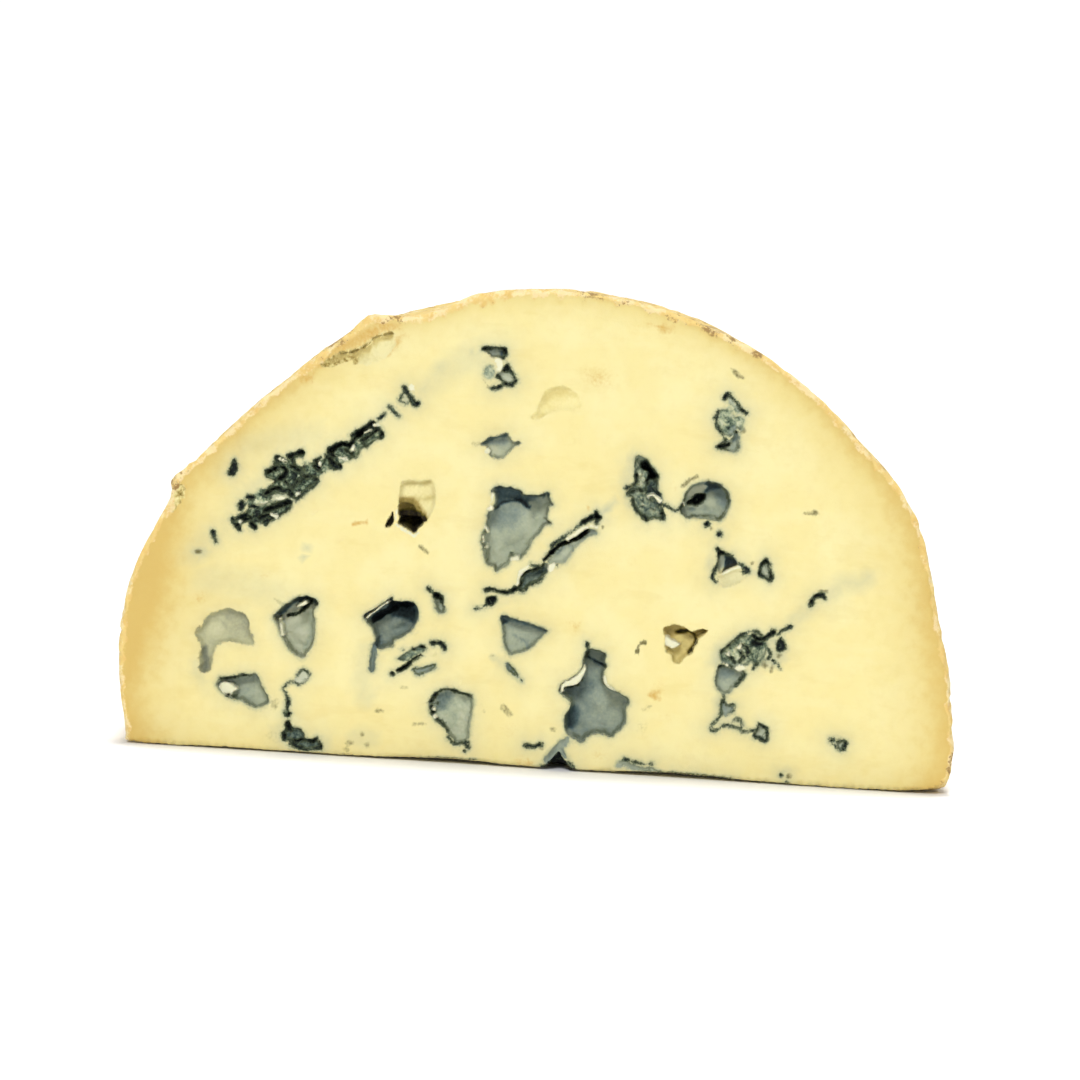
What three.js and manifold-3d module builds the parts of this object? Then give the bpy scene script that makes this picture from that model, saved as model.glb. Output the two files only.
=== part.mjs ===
// A thick half-round slice of blue-veined cheese, standing on its straight cut edge.
//
// It comes from a small drum of cheese about 130 mm across. Two cuts across the drum made the
// broad front and back faces, and one cut along it, a little below its middle, made the base.
// Paste and rind grew as one piece, so the slice is one solid. Its eyes, the pockets where blue
// mould grew, are real hollows in the three cut faces. The rind keeps the dents and lumps that
// the drum got while it ripened.
//
// Units are millimetres, +Z is up, and the front cut face looks along -Y. The origin is the
// middle of the base.

import * as THREE from "three";
import { mergeVertices } from "three/addons/utils/BufferGeometryUtils.js";
import Module from "manifold-3d";

const wasm = await Module();
wasm.setup();

// ---- Driving dimensions ----------------------------------------------------------------------

const DRUM_RADIUS = 65;
const AXIS_HEIGHT = 9.7; // the drum's axis lies this far above the base cut
const THICKNESS = 40;

const ARC_STEPS = 88; // facets round the rind
const DEPTH_STEPS = 10; // facets along the rind, from the front face to the back
const EYE_STEPS = 22; // facets round one eye
const PROUD = 2; // how far a cutter stands out of the face that it cuts
const TINT = { color: 0xf2e3a4, roughness: 0.55, metalness: 0 };

// Lumps (height above 0) and dents (below 0) of the rind. at is the angle round the drum's axis,
// from +X, and spread the half width there, both in degrees. y is the middle along the thickness
// and reach the half length there, in millimetres.
const SWELLS = [
  { at: 15, spread: 7, height: -0.8, y: -20, reach: 40 },
  { at: 33, spread: 8, height: 1.2, y: -20, reach: 45 },
  { at: 62, spread: 9, height: -0.7, y: 16, reach: 14 },
  { at: 88, spread: 12, height: -0.6, y: 6, reach: 12 },
  { at: 109, spread: 5, height: -1.4, y: -18, reach: 22 },
  { at: 116.5, spread: 2.6, height: 1.2, y: -17, reach: 7 },
  { at: 133, spread: 11, height: -1.3, y: -20, reach: 60 },
  { at: 152, spread: 2.2, height: 1.9, y: -18, reach: 5 },
  { at: 150, spread: 8, height: 0.8, y: 12, reach: 12 },
  { at: 168, spread: 7, height: 1.0, y: -20, reach: 45 },
  { at: 187, spread: 6, height: -1.2, y: -20, reach: 60 },
];

// Eyes of the front face: a few points round each one, as [x, z], and how deep it goes.
const FRONT_EYES = [
  {
    name: "shield",
    depth: 3.4,
    outline: [
      [-9, 43.1], [-5.8, 43.3], [-0.3, 42.8], [-0.3, 38.3], [-3.3, 33], [-7.6, 30.4], [-10.2, 35.5],
      [-9.2, 38.8],
    ],
  },
  {
    name: "flame",
    depth: 4.4,
    outline: [
      [8, 19.3], [10.2, 16], [11.5, 13], [14.2, 10.6], [12, 5.7], [7.2, 4.9], [4.6, 7.8], [4.6, 12],
      [7.2, 15.4],
    ],
  },
  {
    name: "triangle",
    depth: 2.8,
    outline: [[-6.2, 22.9], [-2.8, 22.7], [0.8, 21.4], [-2.5, 17.8], [-4.8, 17.6], [-5.9, 20.6]],
  },
  {
    name: "teardrop",
    depth: 4.6,
    outline: [[-40.8, 20.5], [-38.4, 23.8], [-35, 23.6], [-35, 17.9], [-36.5, 15], [-39.7, 17.6]],
  },
  {
    name: "half_moon",
    depth: 3.6,
    outline: [[-49.3, 10.1], [-45.8, 11.7], [-42.9, 11], [-41.8, 8.3], [-42.8, 6.5], [-46.9, 7.9]],
  },
  {
    name: "pale_dish",
    depth: 1.6,
    outline: [
      [-52.6, 18.3], [-49.7, 21.7], [-46.1, 21], [-44.4, 16.6], [-48.4, 16.7], [-50.8, 13.6],
      [-52.2, 12.2],
    ],
  },
  {
    name: "deep_blue",
    depth: 7,
    outline: [
      [-26.8, 20.4], [-23.7, 24.2], [-19.8, 24.2], [-19.3, 21.4], [-22.3, 18.6], [-25.2, 17.4],
    ],
  },
  {
    name: "mottled",
    depth: 2.4,
    outline: [[-16.3, 9.5], [-13.3, 11.7], [-10, 10.3], [-10, 6], [-11.6, 3.4], [-14.7, 6.2]],
  },
  {
    name: "clean_shelf",
    depth: 1.8,
    outline: [[-22.8, 42.3], [-18.6, 43.4], [-17.7, 41.3], [-19.1, 36.9], [-22.7, 38]],
  },
  {
    name: "clean_hole",
    depth: 9,
    outline: [[-23, 39.4], [-20.6, 39.4], [-19.4, 37.2], [-20.6, 35.5], [-22.9, 36.6]],
  },
  {
    name: "pocket",
    depth: 3.4,
    outline: [[12.9, 48.8], [16.2, 46.9], [17.8, 40.2], [14.2, 40.4], [11.8, 44]],
  },
  {
    name: "ring",
    depth: 4.6,
    outline: [[20.5, 43.5], [23.2, 45.9], [26.8, 45.1], [27.4, 41.9], [24.6, 40.6], [20.5, 41.3]],
  },
  {
    name: "right_cluster",
    depth: 2.2,
    outline: [
      [27.8, 20.3], [32.4, 23.3], [37.4, 24], [36.6, 18.4], [31.9, 17.6], [29, 13.6], [27.6, 15.8],
    ],
  },
  {
    name: "clean_right",
    depth: 5.6,
    outline: [[20.6, 23.2], [24.4, 22.8], [23.2, 19], [21.4, 18], [19.9, 19.6]],
  },
  {
    name: "needle_crack",
    depth: 2.6,
    outline: [
      [8.1, 39.6], [6.2, 36.4], [1.9, 31.2], [-3.4, 27.2], [-4.3, 28.6], [-0.1, 33.3], [5, 38.6],
      [7.4, 40.6],
    ],
  },
  {
    name: "shallow_dish",
    depth: 0.9,
    outline: [[-3.5, 54.2], [-1.6, 57.8], [0.8, 58.9], [3.6, 57.2], [0.7, 55.5]],
  },
];

// Eyes of the back face and of the base, as plain ovals: the middle as [x, z] on the back and
// [x, y] on the base, the half sizes, the tilt in degrees and the depth.
const BACK_EYES = [
  { name: "back_wide", at: [14, 36], half: [6, 4.2], tilt: 18, depth: 4 },
  { name: "back_left", at: [-30, 27], half: [4.6, 5.4], tilt: -10, depth: 5 },
  { name: "back_low", at: [33, 15], half: [5.2, 3.4], tilt: 30, depth: 3.4 },
  { name: "back_high", at: [-12, 55], half: [3.4, 4.4], tilt: 12, depth: 3.2 },
  { name: "back_middle", at: [-8, 18], half: [4.4, 3.2], tilt: -24, depth: 4.4 },
  { name: "back_edge", at: [40, 40], half: [2.8, 4.2], tilt: 35, depth: 3 },
];
const BASE_EYES = [
  { name: "base_wide", at: [-27, 3], half: [5, 3.4], tilt: 14, depth: 3 },
  { name: "base_small", at: [25, 6], half: [3.4, 2.6], tilt: -20, depth: 2.6 },
];

// The eye that the base cut and the front cut both opened: a notch in the front lower edge.
const NOTCH = { at: [4.4, -THICKNESS / 2 - 0.6, -0.4], half: [2.4, 5, 3] };

// ---- The drum's rind -------------------------------------------------------------------------

const radians = THREE.MathUtils.degToRad;

/** A bell curve that is 1 at 0 and falls to 1/e at 1. */
const bell = (distance) => Math.exp(-distance * distance);

/** The rind's radius at an angle round the drum's axis, in degrees, and a place y along it. */
function rindRadius(angle, y) {
  return SWELLS.reduce(
    (radius, s) => radius + s.height * bell((angle - s.at) / s.spread) * bell((y - s.y) / s.reach),
    DRUM_RADIUS,
  );
}

/** The angle at which the rind meets the base, on the +X side (side 1) or the -X side (-1). */
function baseAngle(side, y) {
  let dip = 0;
  for (let pass = 0; pass < 8; pass += 1) {
    const angle = side > 0 ? -dip : 180 + dip;
    dip = THREE.MathUtils.radToDeg(Math.asin(AXIS_HEIGHT / rindRadius(angle, y)));
  }
  return side > 0 ? -dip : 180 + dip;
}

/** The rind's point at a share of the way round, 0 at the +X end of the base and 1 at the other. */
function rindPoint(share, y) {
  const angle = THREE.MathUtils.lerp(baseAngle(1, y), baseAngle(-1, y), share);
  const radius = rindRadius(angle, y);
  const x = radius * Math.cos(radians(angle));
  const z = AXIS_HEIGHT + radius * Math.sin(radians(angle));
  return new THREE.Vector2(x, share === 0 || share === 1 ? 0 : z);
}

/** The slice before its eyes are cut: an extruded half round, its rind shaped at each step. */
function sliceGeometry() {
  const shares = Array.from({ length: ARC_STEPS + 1 }, (_, i) => i / ARC_STEPS);
  const outline = shares.map((share) => rindPoint(share, 0));
  const key = (point) => `${point.x.toFixed(3)},${point.y.toFixed(3)}`;
  const shareOf = new Map(outline.map((point, i) => [key(point), shares[i]]));
  const geometry = new THREE.ExtrudeGeometry(new THREE.Shape(outline), {
    depth: THICKNESS,
    steps: DEPTH_STEPS,
    bevelEnabled: false,
  });
  const position = geometry.getAttribute("position");
  for (let i = 0; i < position.count; i += 1) {
    const drawn = new THREE.Vector2(position.getX(i), position.getY(i));
    const y = THICKNESS / 2 - position.getZ(i);
    const point = rindPoint(shareOf.get(key(drawn)), y);
    position.setXYZ(i, point.x, y, point.y);
  }
  geometry.computeBoundingBox();
  const middle = geometry.boundingBox.getCenter(new THREE.Vector3());
  return geometry.translate(-middle.x, 0, 0);
}

// ---- Eyes ------------------------------------------------------------------------------------

/** A cutter with a rounded floor: the outline, drawn in XY, reaches from z = -depth to PROUD. */
function eyeGeometry(points, depth) {
  const curve = new THREE.CatmullRomCurve3(points.map(([x, y]) => new THREE.Vector3(x, y, 0)), true);
  const outline = curve.getSpacedPoints(EYE_STEPS).slice(0, EYE_STEPS);
  const rounding = Math.min(0.8, depth * 0.16);
  return new THREE.ExtrudeGeometry(new THREE.Shape(outline.map((p) => new THREE.Vector2(p.x, p.y))), {
    depth: depth + PROUD - 2 * rounding,
    steps: 1,
    bevelThickness: rounding,
    bevelSize: rounding * 0.7,
    bevelOffset: -rounding * 0.7,
    bevelSegments: 1,
  }).translate(0, 0, rounding - depth);
}

/** The points of an oval, for eyeGeometry. */
function oval({ at, half, tilt }) {
  const turn = radians(tilt);
  return Array.from({ length: 10 }, (_, i) => {
    const angle = (i / 10) * 2 * Math.PI;
    const point = new THREE.Vector2(half[0] * Math.cos(angle), half[1] * Math.sin(angle));
    point.rotateAround(new THREE.Vector2(), turn);
    return [at[0] + point.x, at[1] + point.y];
  });
}

/** A front eye: XY of the drawing becomes XZ, and its depth runs along +Y from the front face. */
function frontCutter({ outline, depth }) {
  return eyeGeometry(outline, depth).rotateX(Math.PI / 2).translate(0, -THICKNESS / 2, 0);
}

/** A back eye: drawn mirrored, then turned so that its depth runs along -Y from the back face. */
function backCutter(eye) {
  const mirrored = oval(eye).map(([x, z]) => [-x, z]).reverse();
  return eyeGeometry(mirrored, eye.depth)
    .rotateX(Math.PI / 2)
    .rotateZ(Math.PI)
    .translate(0, THICKNESS / 2, 0);
}

/** An eye in the base, whose depth runs upwards. */
function baseCutter(eye) {
  const mirrored = oval(eye).map(([x, y]) => [x, -y]).reverse();
  return eyeGeometry(mirrored, eye.depth).rotateX(Math.PI);
}

/** The notch in the front lower edge: a small oval ball. */
function notchCutter() {
  return new THREE.SphereGeometry(1, 14, 9).scale(...NOTCH.half).translate(...NOTCH.at);
}

// ---- Solids ----------------------------------------------------------------------------------

/** A closed three.js geometry as a manifold-3d solid. */
function solidOf(geometry) {
  const bare = new THREE.BufferGeometry();
  const loose = geometry.index ? geometry.toNonIndexed() : geometry;
  bare.setAttribute("position", loose.getAttribute("position"));
  const merged = mergeVertices(bare, 1e-3);
  return new wasm.Manifold(
    new wasm.Mesh({
      numProp: 3,
      vertProperties: merged.getAttribute("position").array,
      triVerts: new Uint32Array(merged.index.array),
    }),
  );
}

/** A manifold-3d solid as a three.js geometry. */
function geometryOf(solid) {
  const mesh = solid.getMesh();
  const geometry = new THREE.BufferGeometry();
  geometry.setAttribute("position", new THREE.BufferAttribute(mesh.vertProperties, 3));
  geometry.setIndex(new THREE.BufferAttribute(mesh.triVerts, 1));
  geometry.computeVertexNormals();
  return geometry;
}

/** The whole slice, with every eye cut out of it. */
function cheeseGeometry() {
  const cutters = [
    ...FRONT_EYES.map(frontCutter),
    ...BACK_EYES.map(backCutter),
    ...BASE_EYES.map(baseCutter),
    notchCutter(),
  ];
  const whole = solidOf(sliceGeometry());
  return geometryOf(cutters.reduce((left, cutter) => left.subtract(solidOf(cutter)), whole));
}

// ---- The object ------------------------------------------------------------------------------

const cheese = new THREE.Mesh(cheeseGeometry(), new THREE.MeshStandardMaterial(TINT));
cheese.name = "cheese_slice";

const group = new THREE.Group();
group.add(cheese);

export default group;
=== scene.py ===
"""A thick half-round slice of blue-veined cheese, standing on its straight cut edge.

The slice is one closed mesh. It starts as a cube, which is divided finely where the cheese has
detail. The cube is then wrapped to the half round, its eyes are sunk into the cut faces, and its
rind is wrinkled. What grew where is kept on the mesh as attributes, which the finish reads.

Sizes in the classes below are millimetres. The meshes are metres.
"""

import logging
import math
from dataclasses import dataclass, field, replace
from enum import Enum
from typing import Any, Iterable

import bmesh
import bpy
import numpy as np
from mathutils import Matrix, Vector, noise


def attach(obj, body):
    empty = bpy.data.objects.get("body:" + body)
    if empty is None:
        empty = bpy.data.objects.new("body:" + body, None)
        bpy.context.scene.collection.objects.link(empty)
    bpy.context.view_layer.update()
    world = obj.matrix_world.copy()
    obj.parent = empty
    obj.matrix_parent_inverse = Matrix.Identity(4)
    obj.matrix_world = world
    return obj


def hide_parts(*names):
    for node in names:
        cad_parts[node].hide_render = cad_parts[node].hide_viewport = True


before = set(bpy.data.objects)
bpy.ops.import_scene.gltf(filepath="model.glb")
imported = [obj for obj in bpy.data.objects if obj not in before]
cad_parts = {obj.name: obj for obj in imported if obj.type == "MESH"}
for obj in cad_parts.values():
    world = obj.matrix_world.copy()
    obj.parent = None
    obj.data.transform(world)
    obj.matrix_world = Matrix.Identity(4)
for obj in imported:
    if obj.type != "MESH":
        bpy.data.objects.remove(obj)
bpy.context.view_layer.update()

LOG = logging.getLogger("cheese")
MM = 0.001
TINY = 1e-6
NODE = "cheese_slice"

Array = np.ndarray
Outline = tuple[tuple[float, float], ...]
Colour = tuple[float, float, float]


# ---- Numbers over many points ----------------------------------------------------------------


def smooth(low: float, high: float, values: Array) -> Array:
    """A soft step: 0 where values are below low, 1 where they are above high."""
    share = np.clip((values - low) / (high - low), 0.0, 1.0)
    return share * share * (3.0 - 2.0 * share)


def bell(distance: Array) -> Array:
    """A bell curve that is 1 at 0 and falls to 1/e at 1."""
    return np.exp(-distance * distance)


def spread(deep: Array) -> Array:
    """How far mould has stained the paste: 1 inside a mark, and next to nothing 5 mm away."""
    close = np.exp(np.minimum(deep, 0.0))
    wide = np.clip(1.0 + deep / 5.0, 0.0, 1.0) ** 2
    return 0.7 * close + 0.3 * wide


def flat(points: Array, size: float, seed: float) -> list[list[float]]:
    """Points of two or three coordinates as places in a pattern with lumps of a size."""
    rows = np.zeros((len(points), 3))
    rows[:, : points.shape[1]] = points / size
    return (rows + seed).tolist()


def grain(points: Array, size: float, octaves: int = 3, seed: float = 0.0) -> Array:
    """Fractal noise at each point.

    Args:
        points: Points of two or three coordinates, in millimetres.
        size: The size of the largest lumps.
        octaves: How many sizes of lump are added up.
        seed: Moves the pattern.

    Returns:
        One value a point, about -1 to 1.
    """
    return np.array([noise.fractal(row, 0.9, 2.1, octaves) for row in flat(points, size, seed)])


def nodules(points: Array, size: float) -> Array:
    """Rounded crumbs that fill the plane: 1 in the middle of a crumb and 0 between crumbs."""
    gaps = [noise.voronoi(row)[0] for row in flat(points, size, 0.0)]
    return smooth(0.02, 0.55, np.array([gap[1] - gap[0] for gap in gaps]))


def through(points: Array, closed: bool, steps: int = 5) -> Array:
    """A smooth curve through a few points.

    Args:
        points: The points to pass through.
        closed: Whether the curve returns to its first point.
        steps: How many points each stretch is drawn with.

    Returns:
        The curve as a close row of points.
    """
    if closed:
        before, start = np.roll(points, 1, axis=0), points
        after, beyond = np.roll(points, -1, axis=0), np.roll(points, -2, axis=0)
    else:
        row = np.vstack([2 * points[:1] - points[1:2], points, 2 * points[-1:] - points[-2:-1]])
        before, start, after, beyond = row[:-3], row[1:-2], row[2:-1], row[3:]
    a, b, c, d = (part[:, None, :] for part in (before, start, after, beyond))
    t = (np.arange(steps) / steps)[None, :, None]
    curve = b + 0.5 * t * (c - a + t * (2 * a - 5 * b + 4 * c - d + t * (3 * (b - c) + d - a)))
    curve = curve.reshape(-1, 2)
    return curve if closed else np.vstack([curve, points[-1:]])


def inside(points: Array, curve: Array, width: float) -> Array:
    """How far each point lies inside a shape, in millimetres, and below 0 outside it.

    Args:
        points: The points to test.
        curve: The outline of the shape, or the middle line of a vein.
        width: The vein's width, or 0 for a closed outline.

    Returns:
        One signed distance a point.
    """
    starts, ends = (curve, np.roll(curve, -1, axis=0)) if width == 0 else (curve[:-1], curve[1:])
    along = ends - starts
    gap = points[:, None, :] - starts
    share = np.clip((gap * along).sum(-1) / np.maximum((along**2).sum(-1), TINY), 0.0, 1.0)
    distance = np.linalg.norm(gap - share[..., None] * along, axis=-1).min(axis=1)
    if width:
        return width / 2 - distance
    height = points[:, 1:2]
    spans = (starts[:, 1] > height) != (ends[:, 1] > height)
    rise = np.where(along[:, 1] == 0, TINY, along[:, 1])
    crossed = spans & (points[:, :1] < starts[:, 0] + (height - starts[:, 1]) * along[:, 0] / rise)
    return np.where(crossed.sum(axis=1) % 2 == 1, distance, -distance)


# ---- Eyes, veins and stains ------------------------------------------------------------------

# DEPTHS say how far inside a shape each point lies, and start at FAR. STRENGTHS start at 0.
# REACH is how far from its outline a mark is still felt.
DEPTHS = ("cover", "dark", "pale")
STRENGTHS = ("halo", "olive", "ochre", "tone", "warm", "rim", "crumbs")
FAR = -3.0
REACH = 4.0


@dataclass
class Surface:
    """Some points of a cut face, and what has happened there.

    Attributes:
        points: The points, in the face's own two directions.
        sink: How far each point sinks below its face.
        edge: How long the mesh's edges may be at each point.
        layers: One row of values for each thing that the finish paints.
        finest: The length of the mesh's edges where there is most detail.
        wander: Slow noise, which makes outlines ragged.
        lumps: Slower noise, which makes floors uneven.
    """

    points: Array
    sink: Array
    edge: Array
    layers: dict[str, Array]
    finest: float
    wander: Array = field(init=False)
    lumps: Array = field(init=False)

    @classmethod
    def clean(cls, points: Array, edge: float, finest: float) -> "Surface":
        """A surface without marks."""
        count = len(points)
        layers = {name: np.full(count, FAR) for name in DEPTHS}
        layers.update({name: np.zeros(count) for name in STRENGTHS})
        return cls(points, np.zeros(count), np.full(count, edge), layers, finest)

    def roughen(self, seed: float) -> None:
        """Makes the noise that its marks read."""
        self.wander = grain(self.points, 1.5, 4, seed)
        self.lumps = grain(self.points, 2.6, 3, seed + 7.3)

    def raise_to(self, name: str, near: Array, values: Array) -> None:
        """Raises one layer where the new values are higher."""
        self.layers[name][near] = np.maximum(self.layers[name][near], values)

    def lower_to(self, name: str, near: Array, values: Array) -> None:
        """Lowers one layer where the new values are lower."""
        self.layers[name][near] = np.minimum(self.layers[name][near], values)

    def blend(self, name: str, near: Array, value: Any, share: Array) -> None:
        """Moves one layer towards a value."""
        row = self.layers[name]
        row[near] = row[near] * (1 - share) + value * share

    def divide(self, near: Array, deep: Array, growth: float = 1.2) -> None:
        """Asks for a finer mesh at a mark.

        Args:
            near: The points near the mark.
            deep: How far inside the mark each of them lies.
            growth: How fast the mesh's edges grow outside it.
        """
        room, growth_within, most_within = 0.2, 0.8, 0.6
        outside = np.maximum(-deep - room, 0.0) * growth
        within = np.minimum(np.maximum(deep - room, 0.0) * growth_within, most_within)
        self.edge[near] = np.minimum(self.edge[near], self.finest + outside + within)


@dataclass(frozen=True)
class Mark:
    """One shape on a cut face.

    Attributes:
        outline: A few points round it, or along its middle where it has a width.
        width: The width of a line, or 0 for a closed outline.
        ragged: How far its border wanders.
    """

    outline: Outline
    width: float = 0.0
    ragged: float = 0.24

    def draw(self, face: Surface) -> None:
        """Draws the mark on the points that it reaches."""
        curve = through(np.array(self.outline), self.width == 0)
        margin = REACH + self.width
        low, high = curve.min(axis=0) - margin, curve.max(axis=0) + margin
        near = np.nonzero(((face.points > low) & (face.points < high)).all(axis=1))[0]
        if len(near):
            deep = inside(face.points[near], curve, self.width) + self.ragged * face.wander[near]
            self.lay(face, near, deep)

    def lay(self, face: Surface, near: Array, deep: Array) -> None:
        """Lays the mark on points that lie deep inside it."""
        raise NotImplementedError


@dataclass(frozen=True)
class Pocket(Mark):
    """An open hollow with a floor.

    Attributes:
        depth: How far its floor lies below the cut.
        tone: How dark its floor is: 0 pale, 0.5 grey, 0.75 blue-grey and 1 black.
        lift: How much darker its floor is painted towards its top, as painted shade of the upper
            wall.
        rim: How strong the dark line just inside its outline is.
        crumbs: How far it is broken up by crumbs.
        warm: 1 where it is bare of mould and brown instead of blue.
        wall: How wide its wall is.
        halo: How strongly the paste round it is stained.
    """

    depth: float = 1.5
    tone: float = 0.4
    lift: float = 0.1
    rim: float = 0.6
    crumbs: float = 0.0
    warm: float = 0.0
    wall: float = 1.0
    halo: float = 0.5

    def lay(self, face: Surface, near: Array, deep: Array) -> None:
        """Sinks the hollow and colours its floor."""
        floor = 1.0 - (1.0 - np.clip((deep + 0.1) / self.wall, 0.0, 1.0)) ** 2
        sink = self.depth * floor * (1.0 + 0.2 * face.lumps[near])
        if self.crumbs:
            sink *= 1.0 - 0.75 * self.crumbs * nodules(face.points[near], 1.1)
        height = face.points[near, 1]
        low, high = min(p[1] for p in self.outline), max(p[1] for p in self.outline)
        # Painted shade: the floor's tone darkens towards the top of the pocket, by lift.
        up = smooth(0.3, 1.0, (height - low) / max(high - low, 0.5))
        share = smooth(-1.0, -0.5, deep)
        face.sink[near] = np.maximum(face.sink[near], sink)
        face.blend("tone", near, self.tone + self.lift * up + 0.07 * face.lumps[near], share)
        face.blend("warm", near, self.warm, share)
        face.blend("rim", near, self.rim, share)
        face.blend("crumbs", near, self.crumbs, share)
        face.raise_to("cover", near, deep)
        face.raise_to("halo", near, self.halo * (1 - self.warm) * spread(deep))
        face.divide(near, deep)


@dataclass(frozen=True)
class Bare(Pocket):
    """A hollow without mould, brown where it is dark. Where its tone is near black it is painted
    shade of a deep hole.
    """

    lift: float = 0.0
    rim: float = 0.0
    warm: float = 1.0


@dataclass(frozen=True)
class Crumbly(Pocket):
    """A hollow full of mouldy crumbs."""

    lift: float = 0.0
    rim: float = 0.7
    crumbs: float = 0.8


@dataclass(frozen=True)
class Shade(Mark):
    """A darker or paler part of a pocket. The darkest ones along the tops of pockets are painted
    shadow of the upper wall; the others are the mould's own tone.

    Attributes:
        tone: The tone that the floor has there.
        soft: How softly it ends.
        depth: How much deeper the floor is there.
    """

    tone: float = 0.8
    soft: float = 0.35
    depth: float = 0.0

    def lay(self, face: Surface, near: Array, deep: Array) -> None:
        """Changes the floor's tone."""
        share = smooth(-self.soft, self.soft, deep)
        face.blend("tone", near, self.tone, share)
        face.sink[near] += self.depth * smooth(-0.1, 0.8, deep)
        face.divide(near, deep, 1.2 + self.soft)


@dataclass(frozen=True)
class Vein(Mark):
    """Green-black mould in a crack.

    Attributes:
        depth: How deep the crack is.
        halo: How strongly the paste round it is stained.
    """

    depth: float = 0.9
    halo: float = 0.6

    def lay(self, face: Surface, near: Array, deep: Array) -> None:
        """Opens the crack and blackens it."""
        face.sink[near] += self.depth * smooth(-0.15, 0.45, deep)
        face.raise_to("dark", near, deep)
        face.lower_to("pale", near, -deep)
        face.raise_to("halo", near, self.halo * spread(deep))
        face.divide(near, deep)


@dataclass(frozen=True)
class Flake(Mark):
    """A pale flake or crumb of paste that stands in a pocket.

    Attributes:
        depth: How far below the cut it lies.
    """

    depth: float = 0.3

    def lay(self, face: Surface, near: Array, deep: Array) -> None:
        """Lays the flake over what is there."""
        share = smooth(-0.2, 0.2, deep)
        face.sink[near] = face.sink[near] * (1 - share) + self.depth * share
        face.lower_to("dark", near, -deep)
        face.raise_to("pale", near, deep)
        face.divide(near, deep)


class Tinge(Enum):
    """What the paste can be stained with."""

    BLUE = "halo"
    OLIVE = "olive"
    OCHRE = "ochre"


@dataclass(frozen=True)
class Stain(Mark):
    """A soft stain in the paste.

    Attributes:
        tinge: What it is stained with.
        strength: How strongly.
        soft: How softly it ends.
    """

    tinge: Tinge = Tinge.BLUE
    strength: float = 0.5
    soft: float = 0.5

    def lay(self, face: Surface, near: Array, deep: Array) -> None:
        """Stains the paste."""
        share = smooth(-self.soft, self.soft * 0.6, deep)
        face.raise_to(self.tinge.value, near, self.strength * share)
        if self.soft < 0.5:
            face.divide(near, deep)


@dataclass(frozen=True)
class Olive(Stain):
    """A stain of young mould."""

    tinge: Tinge = Tinge.OLIVE


@dataclass(frozen=True)
class Ochre(Stain):
    """A stain of ripe paste or of dried rind."""

    tinge: Tinge = Tinge.OCHRE


def oval(x: float, z: float, wide: float, high: float | None = None) -> Outline:
    """The outline of a small oval, from its middle and its size."""
    turns = [math.tau * step / 6 for step in range(6)]
    tall = wide if high is None else high
    return tuple((x + wide / 2 * math.cos(t), z + tall / 2 * math.sin(t)) for t in turns)


def dots(kind: type[Mark], *rows: tuple[float, ...]) -> tuple[Mark, ...]:
    """Small round marks of one kind, each from its middle (x, z) and its size."""
    return tuple(kind(oval(*row)) for row in rows)


def spots(kind: type[Stain], *rows: tuple[float, ...]) -> tuple[Stain, ...]:
    """Small stains of one kind, each from its middle, width, height, strength and softness."""
    return tuple(kind(oval(*row[:4]), strength=row[4], soft=row[5]) for row in rows)


@dataclass(frozen=True)
class Cluster:
    """The marks that belong to one eye or one vein.

    Attributes:
        middle: Where it lies.
        marks: Its marks, lowest first.
    """

    middle: tuple[float, float]
    marks: tuple[Mark, ...]

    def moved(self, to: tuple[float, float], turn: float, size: float = 1.0) -> "Cluster":
        """The same growth mirrored at another place, turned by some degrees and grown by size."""
        cos, sin = math.cos(math.radians(turn)) * size, math.sin(math.radians(turn)) * size

        def place(point: tuple[float, float]) -> tuple[float, float]:
            """Where a point goes."""
            x, z = point[0] - self.middle[0], point[1] - self.middle[1]
            return to[0] - x * cos - z * sin, to[1] - x * sin + z * cos

        marks = [
            replace(m, outline=tuple(place(p) for p in m.outline), width=m.width * size)
            for m in self.marks
        ]
        return Cluster(to, tuple(marks))


@dataclass
class CutFace:
    """One cut face with its clusters, in its own two directions.

    Attributes:
        clusters: Its eyes and veins.
        seed: Moves its random patterns.
        finest: The length of the mesh's edges at a mark.
        coarsest: Their length far from every mark.
        waves: How deep its slow waves are.
        drag: How deep the knife's small marks are.
    """

    clusters: tuple[Cluster, ...]
    seed: float
    finest: float
    coarsest: float
    waves: float = 0.16
    drag: float = 0.05

    def surface(self, points: Array) -> Surface:
        """What happened at some points of the face."""
        face = Surface.clean(points, self.coarsest, self.finest)
        face.roughen(self.seed)
        for cluster in self.clusters:
            for mark in cluster.marks:
                mark.draw(face)
        waves = self.waves * (grain(points, 13.0, 2, self.seed + 3.1) + 0.6)
        drag = self.drag * grain(points, 1.7, 3, self.seed + 5.7)
        face.sink = np.maximum(face.sink + waves + drag, 0.0)
        return face


# ---- What grew in the front face -------------------------------------------------------------
# x across and z up, both from the middle of the base edge. The darkest shades along the tops of
# pockets, and a few dark lines under flaps and along tops, are painted shadow rather than growth.

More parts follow.
